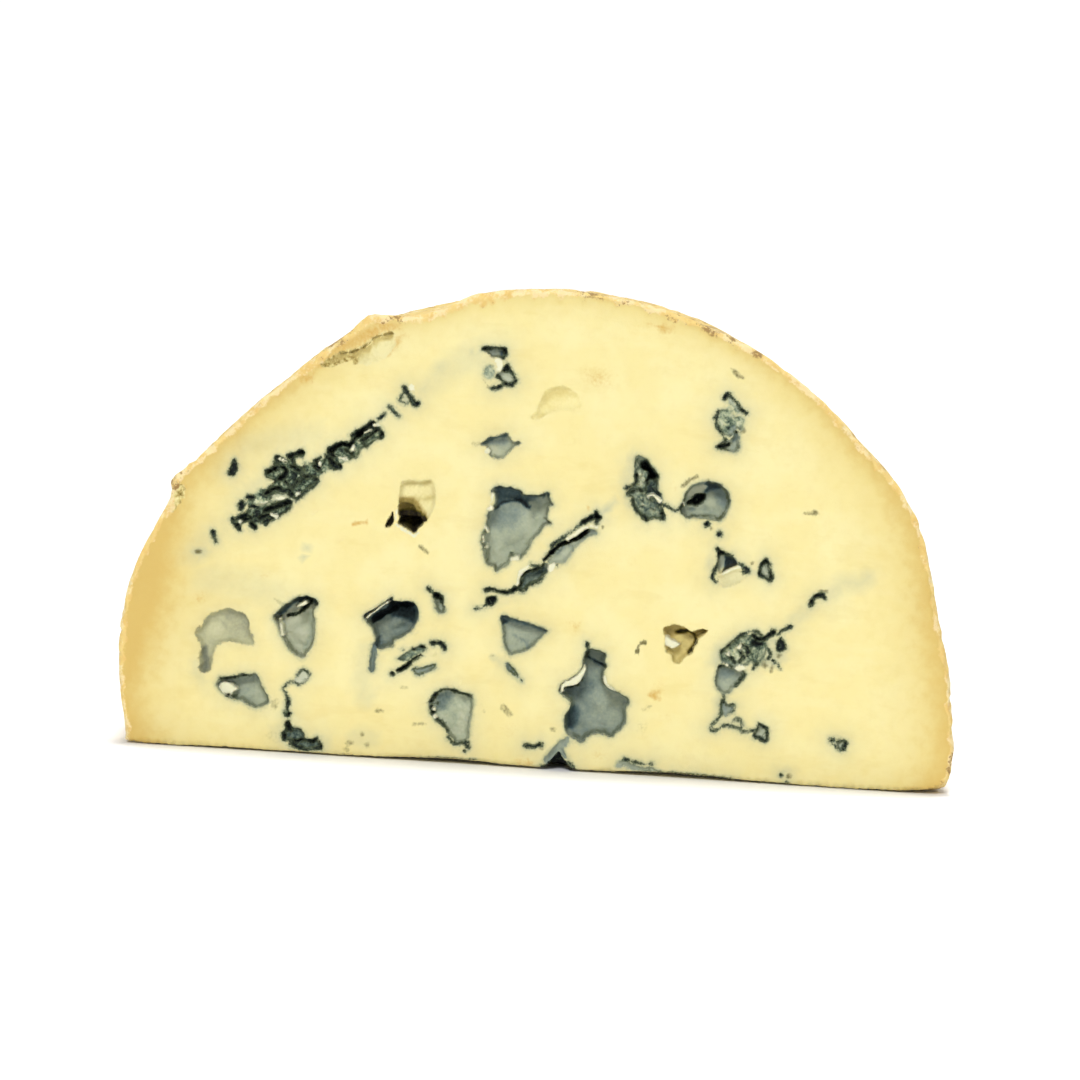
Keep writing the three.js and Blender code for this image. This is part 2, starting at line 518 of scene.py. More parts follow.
SHIELD = Cluster((-5, 37), (
    Pocket(((-9, 42.5), (-8, 43.3), (-5.5, 43.2), (-4.4, 42.8), (-4, 42.3), (-1.5, 42.4),
            (-0.3, 42.7), (-0.1, 42.1), (0.6, 41), (0, 40.7), (-0.3, 38.9), (0.6, 38.2),
            (-0.5, 37.8), (-1.3, 36.5), (-2.2, 35.5), (-3, 33.5), (-3.4, 33), (-4, 32.5),
            (-5.3, 32.5), (-5.6, 31.6), (-7, 30.6), (-7.6, 30.1), (-8, 30.8), (-9, 31.2),
            (-9.8, 33.5), (-10.2, 34.8), (-10.1, 36), (-9.5, 37.5), (-9.4, 39), (-8.6, 39.9),
            (-8.5, 41), (-8.6, 42)), depth=3.4, tone=0.27, lift=0.06, rim=0.6),
    Shade(((-9.3, 39), (-8, 40), (-5, 40.5), (-4, 39), (-5.5, 37), (-9, 36.8)), tone=0.47,
          soft=1.3),
    Shade(((-9.5, 33), (-5.5, 33), (-5.6, 31.3), (-8, 30.3)), tone=0.2, soft=1.2),
    Shade(((-0.5, 41), (-0.6, 37.8), (-3, 34), (-4, 35), (-2.5, 38)), tone=0.24, soft=1.0),
    # Painted shadow of the upper wall along the top of the shield, over a real deepening.
    Shade(((-8.4, 42.2), (-8, 43.3), (-6, 43.3), (-4.5, 42.8), (-4, 42.3), (-2, 42.3),
           (-1.7, 41.9), (-3.2, 41.1), (-4.5, 41.3), (-6, 41.2), (-7, 40.9), (-8.2, 40.2)),
          tone=0.74, depth=0.6),
    Shade(((-8.3, 39.9), (-7, 40.8), (-5.5, 41.1), (-4.2, 41), (-3.1, 40.2)), 0.5, tone=1.0,
          soft=0.2),
    Shade(((-8.3, 43.1), (-6, 43.1), (-4.4, 42.6), (-3.8, 42.2), (-1, 42.3)), 0.4, tone=0.95,
          soft=0.2),
    Shade(((-0.2, 42.5), (0.5, 41.1)), 0.5, tone=0.7, soft=0.2),
    Flake(((-8.8, 42), (-8.85, 41.1)), 0.55),
    Flake(oval(-9, 39.9, 0.75)),
    Flake(((-9.6, 36.9), (-9.2, 36.2)), 0.6),
    Flake(((-9.9, 35.5), (-9.8, 34.7)), 0.4),
    Flake(oval(-9.2, 33.8, 0.65)),
    Flake(((-5.4, 32.2), (-4.4, 32.6)), 0.5),
    Vein(oval(-5.4, 32.9, 0.4), depth=0.2),
))
CRACK = Cluster((0, 32), (
    Stain(((-9, 25), (-4, 27.5), (0, 31), (4, 35), (8, 39.5)), 2.6, strength=0.4, soft=1.2),
    Stain(((7.6, 40), (9.9, 41.7)), 0.8, strength=0.9, soft=0.6),
    Pocket(((-3.8, 28.2), (-3.6, 29.5), (-3, 30.4), (-1, 31.2), (-0.3, 31.9), (0.3, 32),
            (0.3, 31), (-0.1, 30.1), (-0.9, 29.1), (-2, 28.4), (-3, 27.5), (-3.9, 27.6)),
           depth=2.2, tone=0.55, rim=0.8, crumbs=0.3),
    Pocket(((0.2, 32.5), (1.5, 34.2), (3, 35.3), (4, 35.3), (4.2, 34.3), (3.6, 33.2), (2.8, 32.2),
            (1.6, 31.9), (0.4, 31.9)), depth=1.4, tone=0.18, lift=0.0, rim=0.2),
    Shade(((1, 33.7), (2.5, 35), (3.3, 34.9), (1.8, 33.2)), tone=0.5, soft=0.5),
    Pocket(((3.4, 35.6), (4.6, 36.4), (6, 37.6), (7.2, 37.6), (7.6, 37), (6.4, 36.6), (5.3, 35.6),
            (4.4, 34.6)), depth=1.2, tone=0.3, rim=0.25),
    Vein(((-0.3, 32.3), (0.8, 33.6), (2, 34.8), (3, 35.4)), 0.6, depth=2.5),
    Vein(((3.6, 35.7), (4.6, 36.1), (5.5, 36.8), (6, 37.4)), 0.65, depth=2.5),
    Vein(((-3.7, 28.3), (-3.6, 29.4), (-3, 30.3), (-1, 31.1), (-0.3, 31.8)), 0.45, depth=1.5),
    Vein(((-2.2, 31.5), (-1, 31.5)), 0.35),
    Vein(((5.6, 38.7), (6.3, 39.2), (7, 39.6), (7.8, 39.5)), 0.75, depth=1.5),
    Vein(((7.3, 40.4), (7.5, 39.4), (7.4, 38.5)), 0.5),
    Vein(((0.8, 34.6), (2, 35.8), (2.8, 36.3)), 0.35, depth=0.3),
    Vein(((3.4, 36.9), (4.3, 37.7), (5.1, 38.4)), 0.4, depth=0.5),
    Vein(((-3.6, 27.5), (-2.9, 27.4), (-2.5, 28.3), (-1, 28.9), (-0.2, 29.9)), 0.3, depth=0.2),
    Vein(oval(1.8, 31.8, 0.5), depth=0.3),
    Flake(((3.2, 35.9), (4, 36.5), (5, 37.3), (6, 37.9)), 0.5, depth=0.1),
    Flake(((-4.1, 28.6), (-3.9, 29.7), (-3.3, 30.7), (-2.7, 31.2)), 0.45, depth=0.1),
    Flake(((0.8, 31.2), (1.3, 31.9)), 0.6, depth=0.1),
    Flake(((6.5, 38.2), (7.6, 38.1)), 0.4, depth=0.1),
    Vein(((-8.9, 27.2), (-8, 27.4), (-6.5, 27), (-5.2, 27.1), (-4.4, 27.7)), 0.6, depth=1.4),
    Vein(((-8.8, 25.9), (-7.5, 26.2), (-7.3, 25.5), (-7.7, 24.9), (-8.6, 24.9)), depth=1.4),
    Vein(((-8.7, 25), (-9.3, 24.5), (-10.4, 24.2)), 0.35),
    Ochre(oval(6, 41, 0.6), strength=0.7, soft=0.3),
    Olive(oval(8.4, 38.1, 0.5), strength=0.8, soft=0.3),
))
FLAME = Cluster((9, 12), (
    Pocket(((7.3, 19), (9.3, 18.8), (10.2, 18.3), (10.1, 17.3), (10.4, 16.7), (10.1, 14.8),
            (10.6, 13.6), (13, 12.5), (14.2, 11.2), (13.8, 10), (14, 8), (12.5, 6.3), (12, 5.7),
            (10.3, 6.1), (8.4, 5.7), (7.2, 4.5), (5, 6), (4.5, 8.2), (5.2, 10.5), (3.6, 12),
            (3.4, 12.8), (3.8, 13.6), (6, 15.2), (6.8, 16.2)),
           depth=4.0, tone=0.43, lift=0.0, rim=0.7),
    Shade(((10, 13), (13.5, 11.5), (13.5, 7.5), (11, 6.5), (9, 9)), tone=0.37, soft=1.5),
    Shade(((4.5, 13.5), (6.5, 14.5), (8.5, 13.5), (7.5, 11.5), (5.5, 11)), tone=0.64, soft=0.9),
    Shade(((4.6, 10), (6.3, 9.5), (6.6, 7.5), (5.6, 6), (4.6, 7.3)), tone=0.85, soft=0.7),
    # Painted shadow along the upper side of the neck.
    Shade(((7.3, 17.7), (8.3, 17.1), (9.4, 16.7), (10.4, 16.3)), 0.5, tone=1.05, soft=0.15),
    Flake(((7.1, 16.6), (6.8, 15.9), (5.5, 14.7), (4.2, 13.9), (3.6, 13.2), (3.7, 12.1),
           (4.1, 12.3), (4.5, 13), (6.2, 13.4), (6.9, 14.3), (7.3, 15.5))),
    # Painted shadow under the white flap, drawn as a dark vein.
    Vein(((4.2, 12.7), (5.2, 12.9), (6.4, 13.3), (7, 14.2)), 0.3),
    Flake(((10.2, 15), (10.5, 13.9), (11.2, 13.2), (12, 12.8)), 0.35),
    Vein(((7.2, 19.8), (7.5, 18.9), (7.4, 18)), 0.4),
))
TRIANGLE = Cluster((-3, 20.5), (
    Pocket(((-6.4, 23.3), (-5, 23.2), (-3, 22.8), (-1, 22.2), (1, 21.5), (-0.5, 19.9),
            (-1.8, 18.6), (-4, 17.5), (-5, 17.8), (-5.6, 18.8), (-5.9, 21.2)),
           depth=2.4, tone=0.32, rim=0.5),
    # Painted shadow of the upper wall along the top of the pocket.
    Shade(((-6.4, 23.3), (-4.3, 23.1), (-5.5, 22.2), (-6.2, 22)), tone=0.98, soft=0.25),
    Shade(((-6, 22.9), (-3, 22.5), (0.8, 21.4)), 0.6, tone=0.75, soft=0.3),
    Shade(((-4.5, 20.5), (-2.6, 19.6), (-1.9, 18.8)), 0.3, tone=0.5, soft=0.2),
    Olive(oval(-7.2, 17.1, 0.8, 0.5), strength=0.4, soft=0.3),
    Stain(((-7, 16.8), (-5, 15.5)), 1.2, strength=0.5),
    Pocket(((-4.9, 16.2), (-4, 15.5), (-3.2, 14.6), (-2.4, 13.4), (-3.6, 14.2), (-4.9, 15.1)),
           depth=1.0, tone=0.5, rim=1.0),
))
TEARDROP = Cluster((-38, 20), (
    Pocket(((-41.5, 21), (-40.8, 21.8), (-39.5, 23.1), (-38.2, 24), (-36.5, 24.5), (-35.2, 24.1),
            (-34.8, 23.3), (-35.2, 22), (-35, 18.3), (-35.3, 16.6), (-36.5, 14.9), (-37.5, 15.3),
            (-38.7, 16.2), (-39.8, 17.5), (-40.9, 20)), depth=3.6, tone=0.07, rim=0.7),
    # Painted shadow of the upper wall along the top of the pocket.
    Shade(((-40.6, 21.4), (-39.5, 22.6), (-38.2, 23.5), (-36.5, 24), (-35.2, 23.6)), 0.9, tone=0.9,
          soft=0.3),
    Shade(((-36.2, 21.5), (-35.5, 19), (-36.4, 16)), 0.8, tone=0.33, soft=0.5),
    Vein(((-39.3, 21), (-38, 21.4), (-37, 22.3), (-35.8, 23.6)), 0.5, depth=1.5),
    Flake(((-38, 22.6), (-36.6, 23.5)), 0.5),
    Flake(((-40.5, 20.6), (-39.8, 18.2)), 0.5),
    Olive(((-41.5, 23.8), (-40.2, 23)), 0.4, strength=0.4, soft=0.3),
))
HALF_MOON = Cluster((-45.5, 9), (
    Pocket(((-49.6, 10.1), (-48.9, 10.8), (-47.5, 11.2), (-44.5, 11.9), (-43.5, 11.7),
            (-42.4, 9.8), (-41.5, 8), (-42, 7), (-43.4, 6.5), (-45.3, 7.5), (-47.2, 7.9),
            (-49.2, 9.2)), depth=2.6, tone=0.32, rim=0.7),
    Shade(((-43.8, 10), (-42, 9.5), (-41.7, 7.8), (-43, 6.7), (-44, 7.8)), tone=0.24, soft=0.6),
    Flake(((-49.2, 10), (-47.8, 10.3), (-46.8, 9.8), (-46.3, 9.2), (-47.5, 8.3), (-48.8, 9)),
          depth=0.8),
    # Painted shadow of the upper wall along the top of the pocket, drawn as a vein over a real
    # crack.
    Vein(((-49, 10.8), (-47.5, 11), (-46, 11.4), (-44.5, 11.5)), 0.5),
    *dots(Vein, (-47.8, 8.3, 0.4), (-46.8, 8, 0.4)),
))
RING_VEIN = Cluster((-37.5, 10), (
    Pocket(((-37.8, 11), (-37.3, 12), (-36.9, 12.9), (-36.2, 13.2), (-35.2, 12.1), (-36, 11.1),
            (-36.9, 10.7)), depth=0.4, tone=0.02, rim=0.0, halo=0.3),
    Vein(((-37.2, 11.9), (-36.8, 12.8), (-36.2, 13.1), (-35.4, 12.3), (-36, 11.3), (-36.9, 10.8),
          (-38, 11.2)), 0.24, depth=0.3, halo=0.4),
    Vein(((-38.1, 11.2), (-39, 10.4), (-39.2, 9.8), (-38.7, 9), (-38.4, 8)), 0.24, depth=0.3,
         halo=0.4),
    Stain(oval(-38.6, 6.6, 1.6, 2.6), strength=0.8),
    Vein(((-38.4, 7.7), (-38.5, 6.8), (-38.2, 5.9)), 0.42),
    Vein(((-38.9, 6.3), (-38.5, 5.8), (-38, 6.2)), 0.3),
    Olive(oval(-40.4, 7.4, 1.6), strength=0.6, soft=0.6),
))
SHALLOW_LEFT = Cluster((-49, 17), (
    Pocket(((-53, 17.5), (-52.5, 18.7), (-51.5, 20.4), (-50.5, 21.2), (-48.5, 21.9), (-47, 21.6),
            (-45.8, 20.8), (-45.3, 19.6), (-44.4, 17), (-44.3, 16.3), (-46.5, 16.6),
            (-48.3, 16.8), (-49.5, 16.2), (-50.3, 15), (-50.8, 11.9), (-52.4, 12), (-52.2, 15.5)),
           ragged=0.34, depth=1.3, tone=0.28, lift=0.05, rim=0.2, warm=0.3),
    Shade(oval(-50.2, 18.2, 2.6, 2.4), tone=0.17, soft=0.9),
    Shade(((-47.8, 21.2), (-46.3, 20.7), (-45.6, 19.6), (-45, 18)), 1.8, tone=0.42, soft=0.8),
    Shade(((-51.9, 15.2), (-51.5, 13.5), (-51.6, 12)), 0.9, tone=0.62, soft=0.4),
    Shade(((-51.4, 20.4), (-49.6, 19.6), (-48.3, 18.2)), 0.3, tone=0.36, soft=0.2),
    Olive(((-52.7, 18.8), (-53, 17.5), (-52.6, 16.6)), 0.45, strength=0.8, soft=0.25),
    Olive(((-52.3, 15), (-52.3, 12)), 0.4, strength=0.8, soft=0.25),
    Stain(((-53, 13), (-52, 10)), 1.5, strength=0.4, soft=0.8),
))
DEEP_BLUE = Cluster((-23, 21), (
    Stain(((-26.7, 17), (-27, 12), (-26.5, 9)), 2.4, strength=0.35, soft=1.2),
    Pocket(((-27.5, 21.8), (-27, 22.5), (-25.5, 23.5), (-23.5, 25), (-22.9, 24.5), (-20, 24.6),
            (-19.2, 22.8), (-19.1, 22), (-20.3, 19.9), (-22.4, 18.6), (-23, 17.6), (-25.2, 17.2),
            (-25.6, 19), (-26.5, 20.5)), depth=4.6, tone=0.46, rim=0.6),
    # Painted shadow of the upper wall in the top of the pocket, over a real deepening.
    Shade(((-22.5, 23.3), (-20.3, 23.6), (-19.3, 22.2), (-19.9, 21.1), (-21.5, 21.6),
           (-23.5, 21.8)), tone=0.92, soft=0.4),
    Shade(((-26.5, 21.6), (-25.3, 22.4), (-24, 23.3), (-23.6, 24.4), (-20, 24.3), (-20.3, 23.5),
           (-22, 23.4), (-22.8, 22.8), (-24, 22), (-25.5, 20.9), (-26.2, 20.6)),
          tone=1.15, soft=0.2, depth=1.5),
    Flake(((-27, 21.7), (-25.5, 23.1), (-24, 24.3)), 0.4, depth=0.1),
    Pocket(((-25.6, 17.6), (-25.7, 15.5), (-25.7, 13.8)), 0.8, depth=0.9, tone=0.5, rim=0.4),
    Pocket(((-17, 26.1), (-16.2, 26.4), (-15.5, 25.7), (-15.1, 24.5), (-15.1, 23.5), (-15.6, 23),
            (-16.2, 23.4), (-16.7, 24.5)), depth=1.6, tone=0.33, rim=0.8),
    Vein(((-16.6, 25.8), (-15.9, 25.4), (-15.7, 24.9)), 0.9, depth=1.2),
    Vein(((-18, 26.9), (-16.6, 26.1)), 0.3),
    Vein(((-16.7, 18.5), (-15.4, 18.5), (-14.7, 17.7)), 0.75),
    Ochre(oval(-13, 20.7, 0.9), strength=0.4),
))
SLITS = Cluster((-19.5, 15.5), (
    Pocket(((-22, 15.6), (-20.3, 16.9), (-18.4, 18), (-17.6, 17.6), (-18.4, 16.6), (-20.2, 15.6)),
           depth=0.8, tone=0.36, rim=0.5, crumbs=0.5),
    Pocket(((-19.6, 14.2), (-18, 14.6), (-16.2, 15.3), (-15.9, 14.8), (-17.3, 13.9),
            (-18.6, 13.3)), depth=0.7, tone=0.4, rim=1.0),
    Vein(((-18.4, 16.5), (-19.5, 15.7), (-20.5, 14.6), (-21.8, 13.8)), 0.55, depth=2.0),
    *dots(
        Vein,
        (-18.1, 17.7, 1.0, 0.5), (-19.4, 17.3, 0.4), (-21.2, 17.1, 0.4), (-22.5, 13.3, 0.6),
    ),
))
MOTTLED = Cluster((-13, 8), (
    Pocket(((-16.6, 9.5), (-15.2, 11), (-14, 11.6), (-12, 11.2), (-10.2, 10.7), (-9.8, 9.5),
            (-10.1, 6.5), (-10, 4.4), (-10.7, 3.4), (-12.1, 3.1), (-13.2, 4.4), (-14.5, 6),
            (-15.8, 7), (-16.4, 7.8)), depth=2.0, tone=0.2, lift=0.05, rim=0.6, crumbs=0.12),
    Shade(((-15.3, 10.6), (-13.5, 11), (-13, 10), (-14.6, 8), (-15.8, 8.3)), tone=0.58, soft=0.8),
    Shade(((-11.5, 8), (-10.4, 7.5), (-10.6, 4.5), (-12.3, 4.3)), tone=0.12, soft=0.9),
    # Painted shadow of the upper wall along the top of the pocket, drawn as a vein over a real
    # crack.
    Vein(((-16.4, 9.4), (-15.4, 10.8), (-14, 11.4), (-12, 11), (-10.3, 10.5)), 0.4),
    *dots(Vein, (-16.3, 8.5, 0.6), (-16, 7.6, 0.5), (-15.3, 9, 0.5)),
    *dots(Flake, (-15.8, 8.2, 0.45), (-15.5, 7.1, 0.5)),
    Vein(((-15.2, 6.6), (-14.2, 5.8), (-13.5, 5)), 0.35),
    Vein(((-13.4, 4.1), (-12.4, 3.2), (-11.2, 3.2), (-10.2, 3.4)), 0.45),
    *dots(Vein, (-10.2, 2.7, 0.5), (-10.7, 2, 0.4)),
    Olive(((-10.2, 8.4), (-10.6, 6.6)), 0.8, strength=0.6, soft=0.4),
    Olive(((-18.7, 5.8), (-16.9, 5.9)), 0.45, strength=0.6, soft=0.3),
))
LEAF = Cluster((-8.3, 49.7), (
    Pocket(((-11.2, 49.5), (-10.7, 50.2), (-9.5, 50.8), (-7.3, 51.6), (-6.8, 51), (-6.2, 50.3),
            (-5.2, 50.4), (-5.2, 50), (-6, 49.7), (-6.5, 48.8), (-7.3, 48), (-8.5, 47.6),
            (-9.5, 48), (-9.8, 48.6), (-10.2, 49.4)), depth=1.6, tone=0.32, lift=0.05, rim=0.4,
           warm=0.08),
    Shade(((-10, 50), (-8, 51), (-7.2, 50.4), (-8.5, 49.6)), tone=0.58, soft=0.5),
    # Painted shadow of the upper wall along the top of the pocket.
    Shade(((-10.9, 49.9), (-9.4, 50.6), (-7.5, 51.3)), 0.5, tone=0.85, soft=0.3),
    Shade(((-10, 49), (-8.6, 48), (-7.5, 48.3), (-8.5, 49.3)), tone=0.12, soft=0.4),
    Flake(oval(-10.1, 48.7, 0.9, 0.6)),
    Olive(((-12.3, 49.6), (-11.2, 49.7)), 0.6, strength=0.5, soft=0.4),
))
OVAL = Cluster((24, 43), (
    Pocket(((20.1, 41.4), (20.3, 42.5), (20.8, 43.8), (21.5, 45.2), (22.5, 45.8), (23.8, 46.2),
            (25, 46.1), (26.2, 45.7), (27.2, 44.9), (27.7, 43.8), (27.7, 42.6), (27.4, 41.5),
            (26.4, 40.3), (25.5, 40.4), (22.8, 40.5), (21.4, 40.2), (20.9, 40.6)),
           depth=3.6, tone=0.3, lift=0.05, rim=1.0),
    Shade(((24.2, 45.9), (26.5, 45.4), (27.6, 43.8), (27.3, 42), (26.3, 42.5), (25.3, 44)),
          tone=0.53, soft=0.8),
    Shade(((24.3, 42.8), (25.3, 43.2), (25, 41.8)), tone=0.18, soft=0.4),
    # Painted shadow of the upper wall along the top of the pocket.
    Shade(((23.9, 46), (25.1, 46), (26.5, 45.3), (25.4, 44.8), (24.3, 44.1), (23.8, 43.5)),
          tone=0.92, soft=0.25),
    Shade(((21.3, 43.4), (21.3, 44.4), (22.5, 45.1), (24, 45.4), (24.2, 44.9), (23.5, 44.3),
           (22, 43.7)), tone=0.0, soft=0.15),
    Vein(((21.2, 42.4), (21.5, 43), (22.5, 43.7), (23.8, 44.2), (24.2, 43.9), (23.6, 42.9),
          (23, 42.2), (22, 42.2)), depth=3.5),
    Flake(((20.6, 42.7), (20.8, 42.1)), 0.3),
    Shade(oval(22, 41.6, 0.8, 0.5), tone=0.5, soft=0.2),
    Olive(((20.3, 45.2), (21, 45.9), (22.4, 46.9)), 0.5, strength=0.8, soft=0.3),
    Vein(oval(24.4, 39.6, 0.85)),
    Olive(oval(25.1, 39, 0.5), strength=0.9, soft=0.25),
    Vein(oval(26.5, 38.2, 0.85), depth=0.4),
))
CHUTE = Cluster((15, 44), (
    Stain(((12.4, 48.8), (12, 45), (12.4, 42)), 1.8, strength=0.6, soft=1.0),
    Crumbly(((12.9, 49.2), (14, 49.2), (15.2, 48.2), (16.4, 46.8), (16.5, 45.2), (17.1, 43.6),
             (17.3, 42.2), (17.9, 40.2), (16, 39.9), (15.2, 39.5), (14, 40.2), (13, 41.3),
             (12.5, 42.8), (11.8, 43.4), (12.4, 44.6), (12.8, 46)), depth=2.4, tone=0.4, rim=0.8,
            crumbs=0.45),
    Shade(((13.2, 48.6), (14, 46.8), (14.7, 45.6), (14.3, 44.4), (13.4, 44.7), (13.2, 46.5)),
          tone=0.06, soft=0.3),
    Shade(((13.2, 43.2), (14.6, 41.8), (16.4, 41)), 0.35, tone=0.1, soft=0.2),
    Shade(((13, 42.3), (14.4, 40.9)), 0.35, tone=0.1, soft=0.2),
    Shade(((14.9, 46), (16.2, 45.8), (16.4, 44.6), (17, 43.4), (15.6, 43.6), (14.7, 43.8)),
          tone=0.72, soft=0.25, depth=1.0),
    Vein(((13.7, 47.8), (14.6, 48.8), (15.2, 48), (16.4, 46.7), (16.3, 46), (15.1, 45.9),
          (14.9, 46.9), (14.1, 47.2)), depth=3.5),
    Vein(((13.2, 44.4), (14.2, 44), (14.8, 44.2), (14.9, 45.6)), 0.45),
    Vein(((13, 46.4), (13.2, 45.4), (12.2, 44.6), (11.8, 44.4)), 0.5),
    Vein(((12.4, 43.7), (13.2, 44)), 0.4),
    Vein(((12.7, 42.6), (13.2, 41.4), (14.2, 40.4), (15.1, 39.7)), 0.45),
    *dots(Vein, (17.6, 40.6, 0.5), (17.6, 40, 0.6)),
    Flake(((15.2, 43.4), (16, 43.5), (16.9, 42.7)), 0.45),
    Vein(((17.5, 42.1), (18.3, 41.9), (19, 41.5), (19.8, 41.5), (20.4, 42)), 0.38, depth=0.5),
))
WEDGE = Cluster((29, 33), (
    Pocket(((26.5, 35.5), (27.8, 35.1), (28.5, 35), (29.2, 34.3), (29.5, 33.6), (28.5, 33),
            (27.2, 32.2), (26.6, 32.6), (26.5, 34)), depth=2.0, tone=0.22, rim=0.3),
    Bare(((26.3, 31.3), (27.2, 31.9), (28.6, 32.7), (30, 33), (30.8, 32.4), (30.2, 31),
          (28.5, 30.2), (27, 30.3)), depth=0.7, tone=0.08, warm=0.6),
    Shade(((27.7, 35.1), (28.5, 35), (29.2, 34.3), (29.5, 33.6), (28.5, 33), (27.7, 32.6),
           (27.3, 32.2), (27.6, 33)), tone=0.95, soft=0.15),
    Vein(((26.3, 35.9), (27, 35.4), (27.8, 35.1), (28.6, 35)), 0.4),
    Vein(((26.6, 35.4), (26.5, 34), (26.3, 33), (25.8, 31.4), (26.4, 30.7)), 0.42),
    Flake(((27.4, 32), (28.7, 32.8), (29.9, 33.3)), 0.35, depth=0.1),
    Vein(((30, 33.7), (30.8, 33.2), (31.4, 32.8), (30.6, 32.6)), 0.45, depth=0.4),
    Olive(oval(31.8, 34, 0.5), strength=0.9, soft=0.25),
    Stain(oval(25.5, 33.5, 1.2, 3), strength=0.6, soft=0.6),
    Pocket(((33.9, 35.1), (34.4, 34.5), (34.7, 33.2), (35, 32), (34.9, 31.5), (34.3, 31.5),
            (33.4, 32.2), (32.9, 32.4), (33.1, 33), (33.3, 34)), depth=1.4, tone=0.2, rim=0.6),
    Vein(((33.9, 34.8), (33.4, 34), (33, 32.6), (33.6, 32.1), (34.5, 31.6), (34.9, 31.9),
          (34.6, 33.2), (34.2, 34.4)), 0.4),
    Vein(oval(33.9, 34.4, 0.8, 1.0)),
    Stain(((31.6, 32.9), (33, 32.5)), 1.0, strength=0.6, soft=0.4),
))
HOLE = Cluster((-21, 39), (
    Bare(((-23, 42.8), (-22.6, 43.2), (-20, 43.4), (-18.5, 43.6), (-18.1, 43), (-17.6, 41),
          (-17.9, 39), (-19.2, 37.1), (-21, 38), (-23, 39.5)), ragged=0.1, depth=1.2, tone=0.05,
         warm=0.85),
    Shade(((-22.9, 42.4), (-22, 42.8), (-20, 43), (-18.6, 43.3)), 0.45, tone=0.3, soft=0.25),
    Shade(((-22.8, 40.6), (-19.5, 40.6), (-17.9, 41.1)), 0.5, tone=0.28, soft=0.3),
    # The darkest layers of this bare hole are painted shade of its depth, over real depth.
    Bare(((-23.1, 39.7), (-22.5, 39.95), (-21.2, 39.9), (-20.5, 39.3), (-20.1, 38.3), (-20, 37.6),
          (-22.8, 37.6), (-23.2, 39)), ragged=0.1, depth=3.0, tone=0.62),
    Bare(((-23.1, 36.6), (-22.9, 37.5), (-22.5, 37.9), (-20, 37.9), (-19.4, 37.3), (-19.3, 36.8),
          (-20.1, 36), (-20.2, 35.5), (-20.7, 35.3), (-21.2, 35.7), (-22.6, 36.4)), ragged=0.12,
         depth=6.0, tone=0.97),
    Bare(((-24.1, 38.2), (-23.8, 37.3), (-24, 36.5), (-24.8, 36.1), (-24.9, 36.5), (-24.4, 37.3)),
         depth=1.5, tone=1.05, wall=0.5),
    Flake(((-23.4, 36.5), (-22.4, 35.8), (-21.2, 35.2), (-20.6, 34.9), (-20, 35.4)), 0.4,
          depth=0.1),
    Flake(((-23.5, 38.6), (-23.5, 37.2)), 0.4, depth=0.1),
    Ochre(((-30, 36), (-29, 36.4), (-28, 36.5)), 0.5, strength=0.9, soft=0.4),
    Olive(((-19.6, 33.3), (-18.2, 32.4)), 0.4, strength=0.8, soft=0.3),
))
FLAP = Cluster((22, 21), (
    Pocket(((19, 23.1), (20, 23.5), (21, 23.7), (23.2, 22.9), (25.5, 23.1), (24.6, 22.2),
            (23.9, 20.8), (23.5, 19.8), (22.8, 19.1), (21.6, 17.9), (20.6, 18), (20.1, 19),
            (19.5, 19.6), (19.1, 21.6)), depth=2.4, tone=0.27, lift=0.15, rim=0.0, warm=1.0),
    # Painted shadow of the upper right wall, over a real deepening, and a painted shadow at its
    # tail.
    Shade(((21, 22.4), (22.2, 22.8), (23.2, 22.6), (24, 21.6), (23.7, 20.5), (23.1, 19.4)), 0.6,
          tone=0.98, soft=0.25, depth=1.5),
    Shade(((23.4, 22.9), (25.2, 23)), 0.4, tone=0.6, soft=0.2),
    Flake(((19.2, 22), (20, 21.6), (21.5, 20.8), (21, 20.2), (20.4, 19.9), (19.8, 20.1),
           (19.2, 20.8))),
    Olive(((16.1, 20.7), (15.3, 20.5), (15.1, 20), (15, 19.2)), 0.5, strength=1.0, soft=0.2),
    Olive(oval(19.6, 19.6, 0.5), strength=0.8, soft=0.3),
))
SCAR = Cluster((0, 57), (
    Bare(((-3.9, 54.3), (-2.9, 55.4), (-2, 58.1), (-1, 58.9), (0.4, 59.4), (2.7, 58.7), (4, 56.8),
          (2.5, 56), (0, 55.5), (-1.4, 54.9), (-3, 54)), depth=0.9, tone=0.05, wall=1.4),
    Shade(((-1.9, 57), (-1.8, 58.2), (0, 59), (1.6, 58.9), (3, 58), (1, 57.9), (-0.8, 57.2)),
          tone=0.22, soft=0.7),
    Shade(((-3.7, 54.3), (-2, 54.8)), 0.5, tone=0.2, soft=0.3),
))
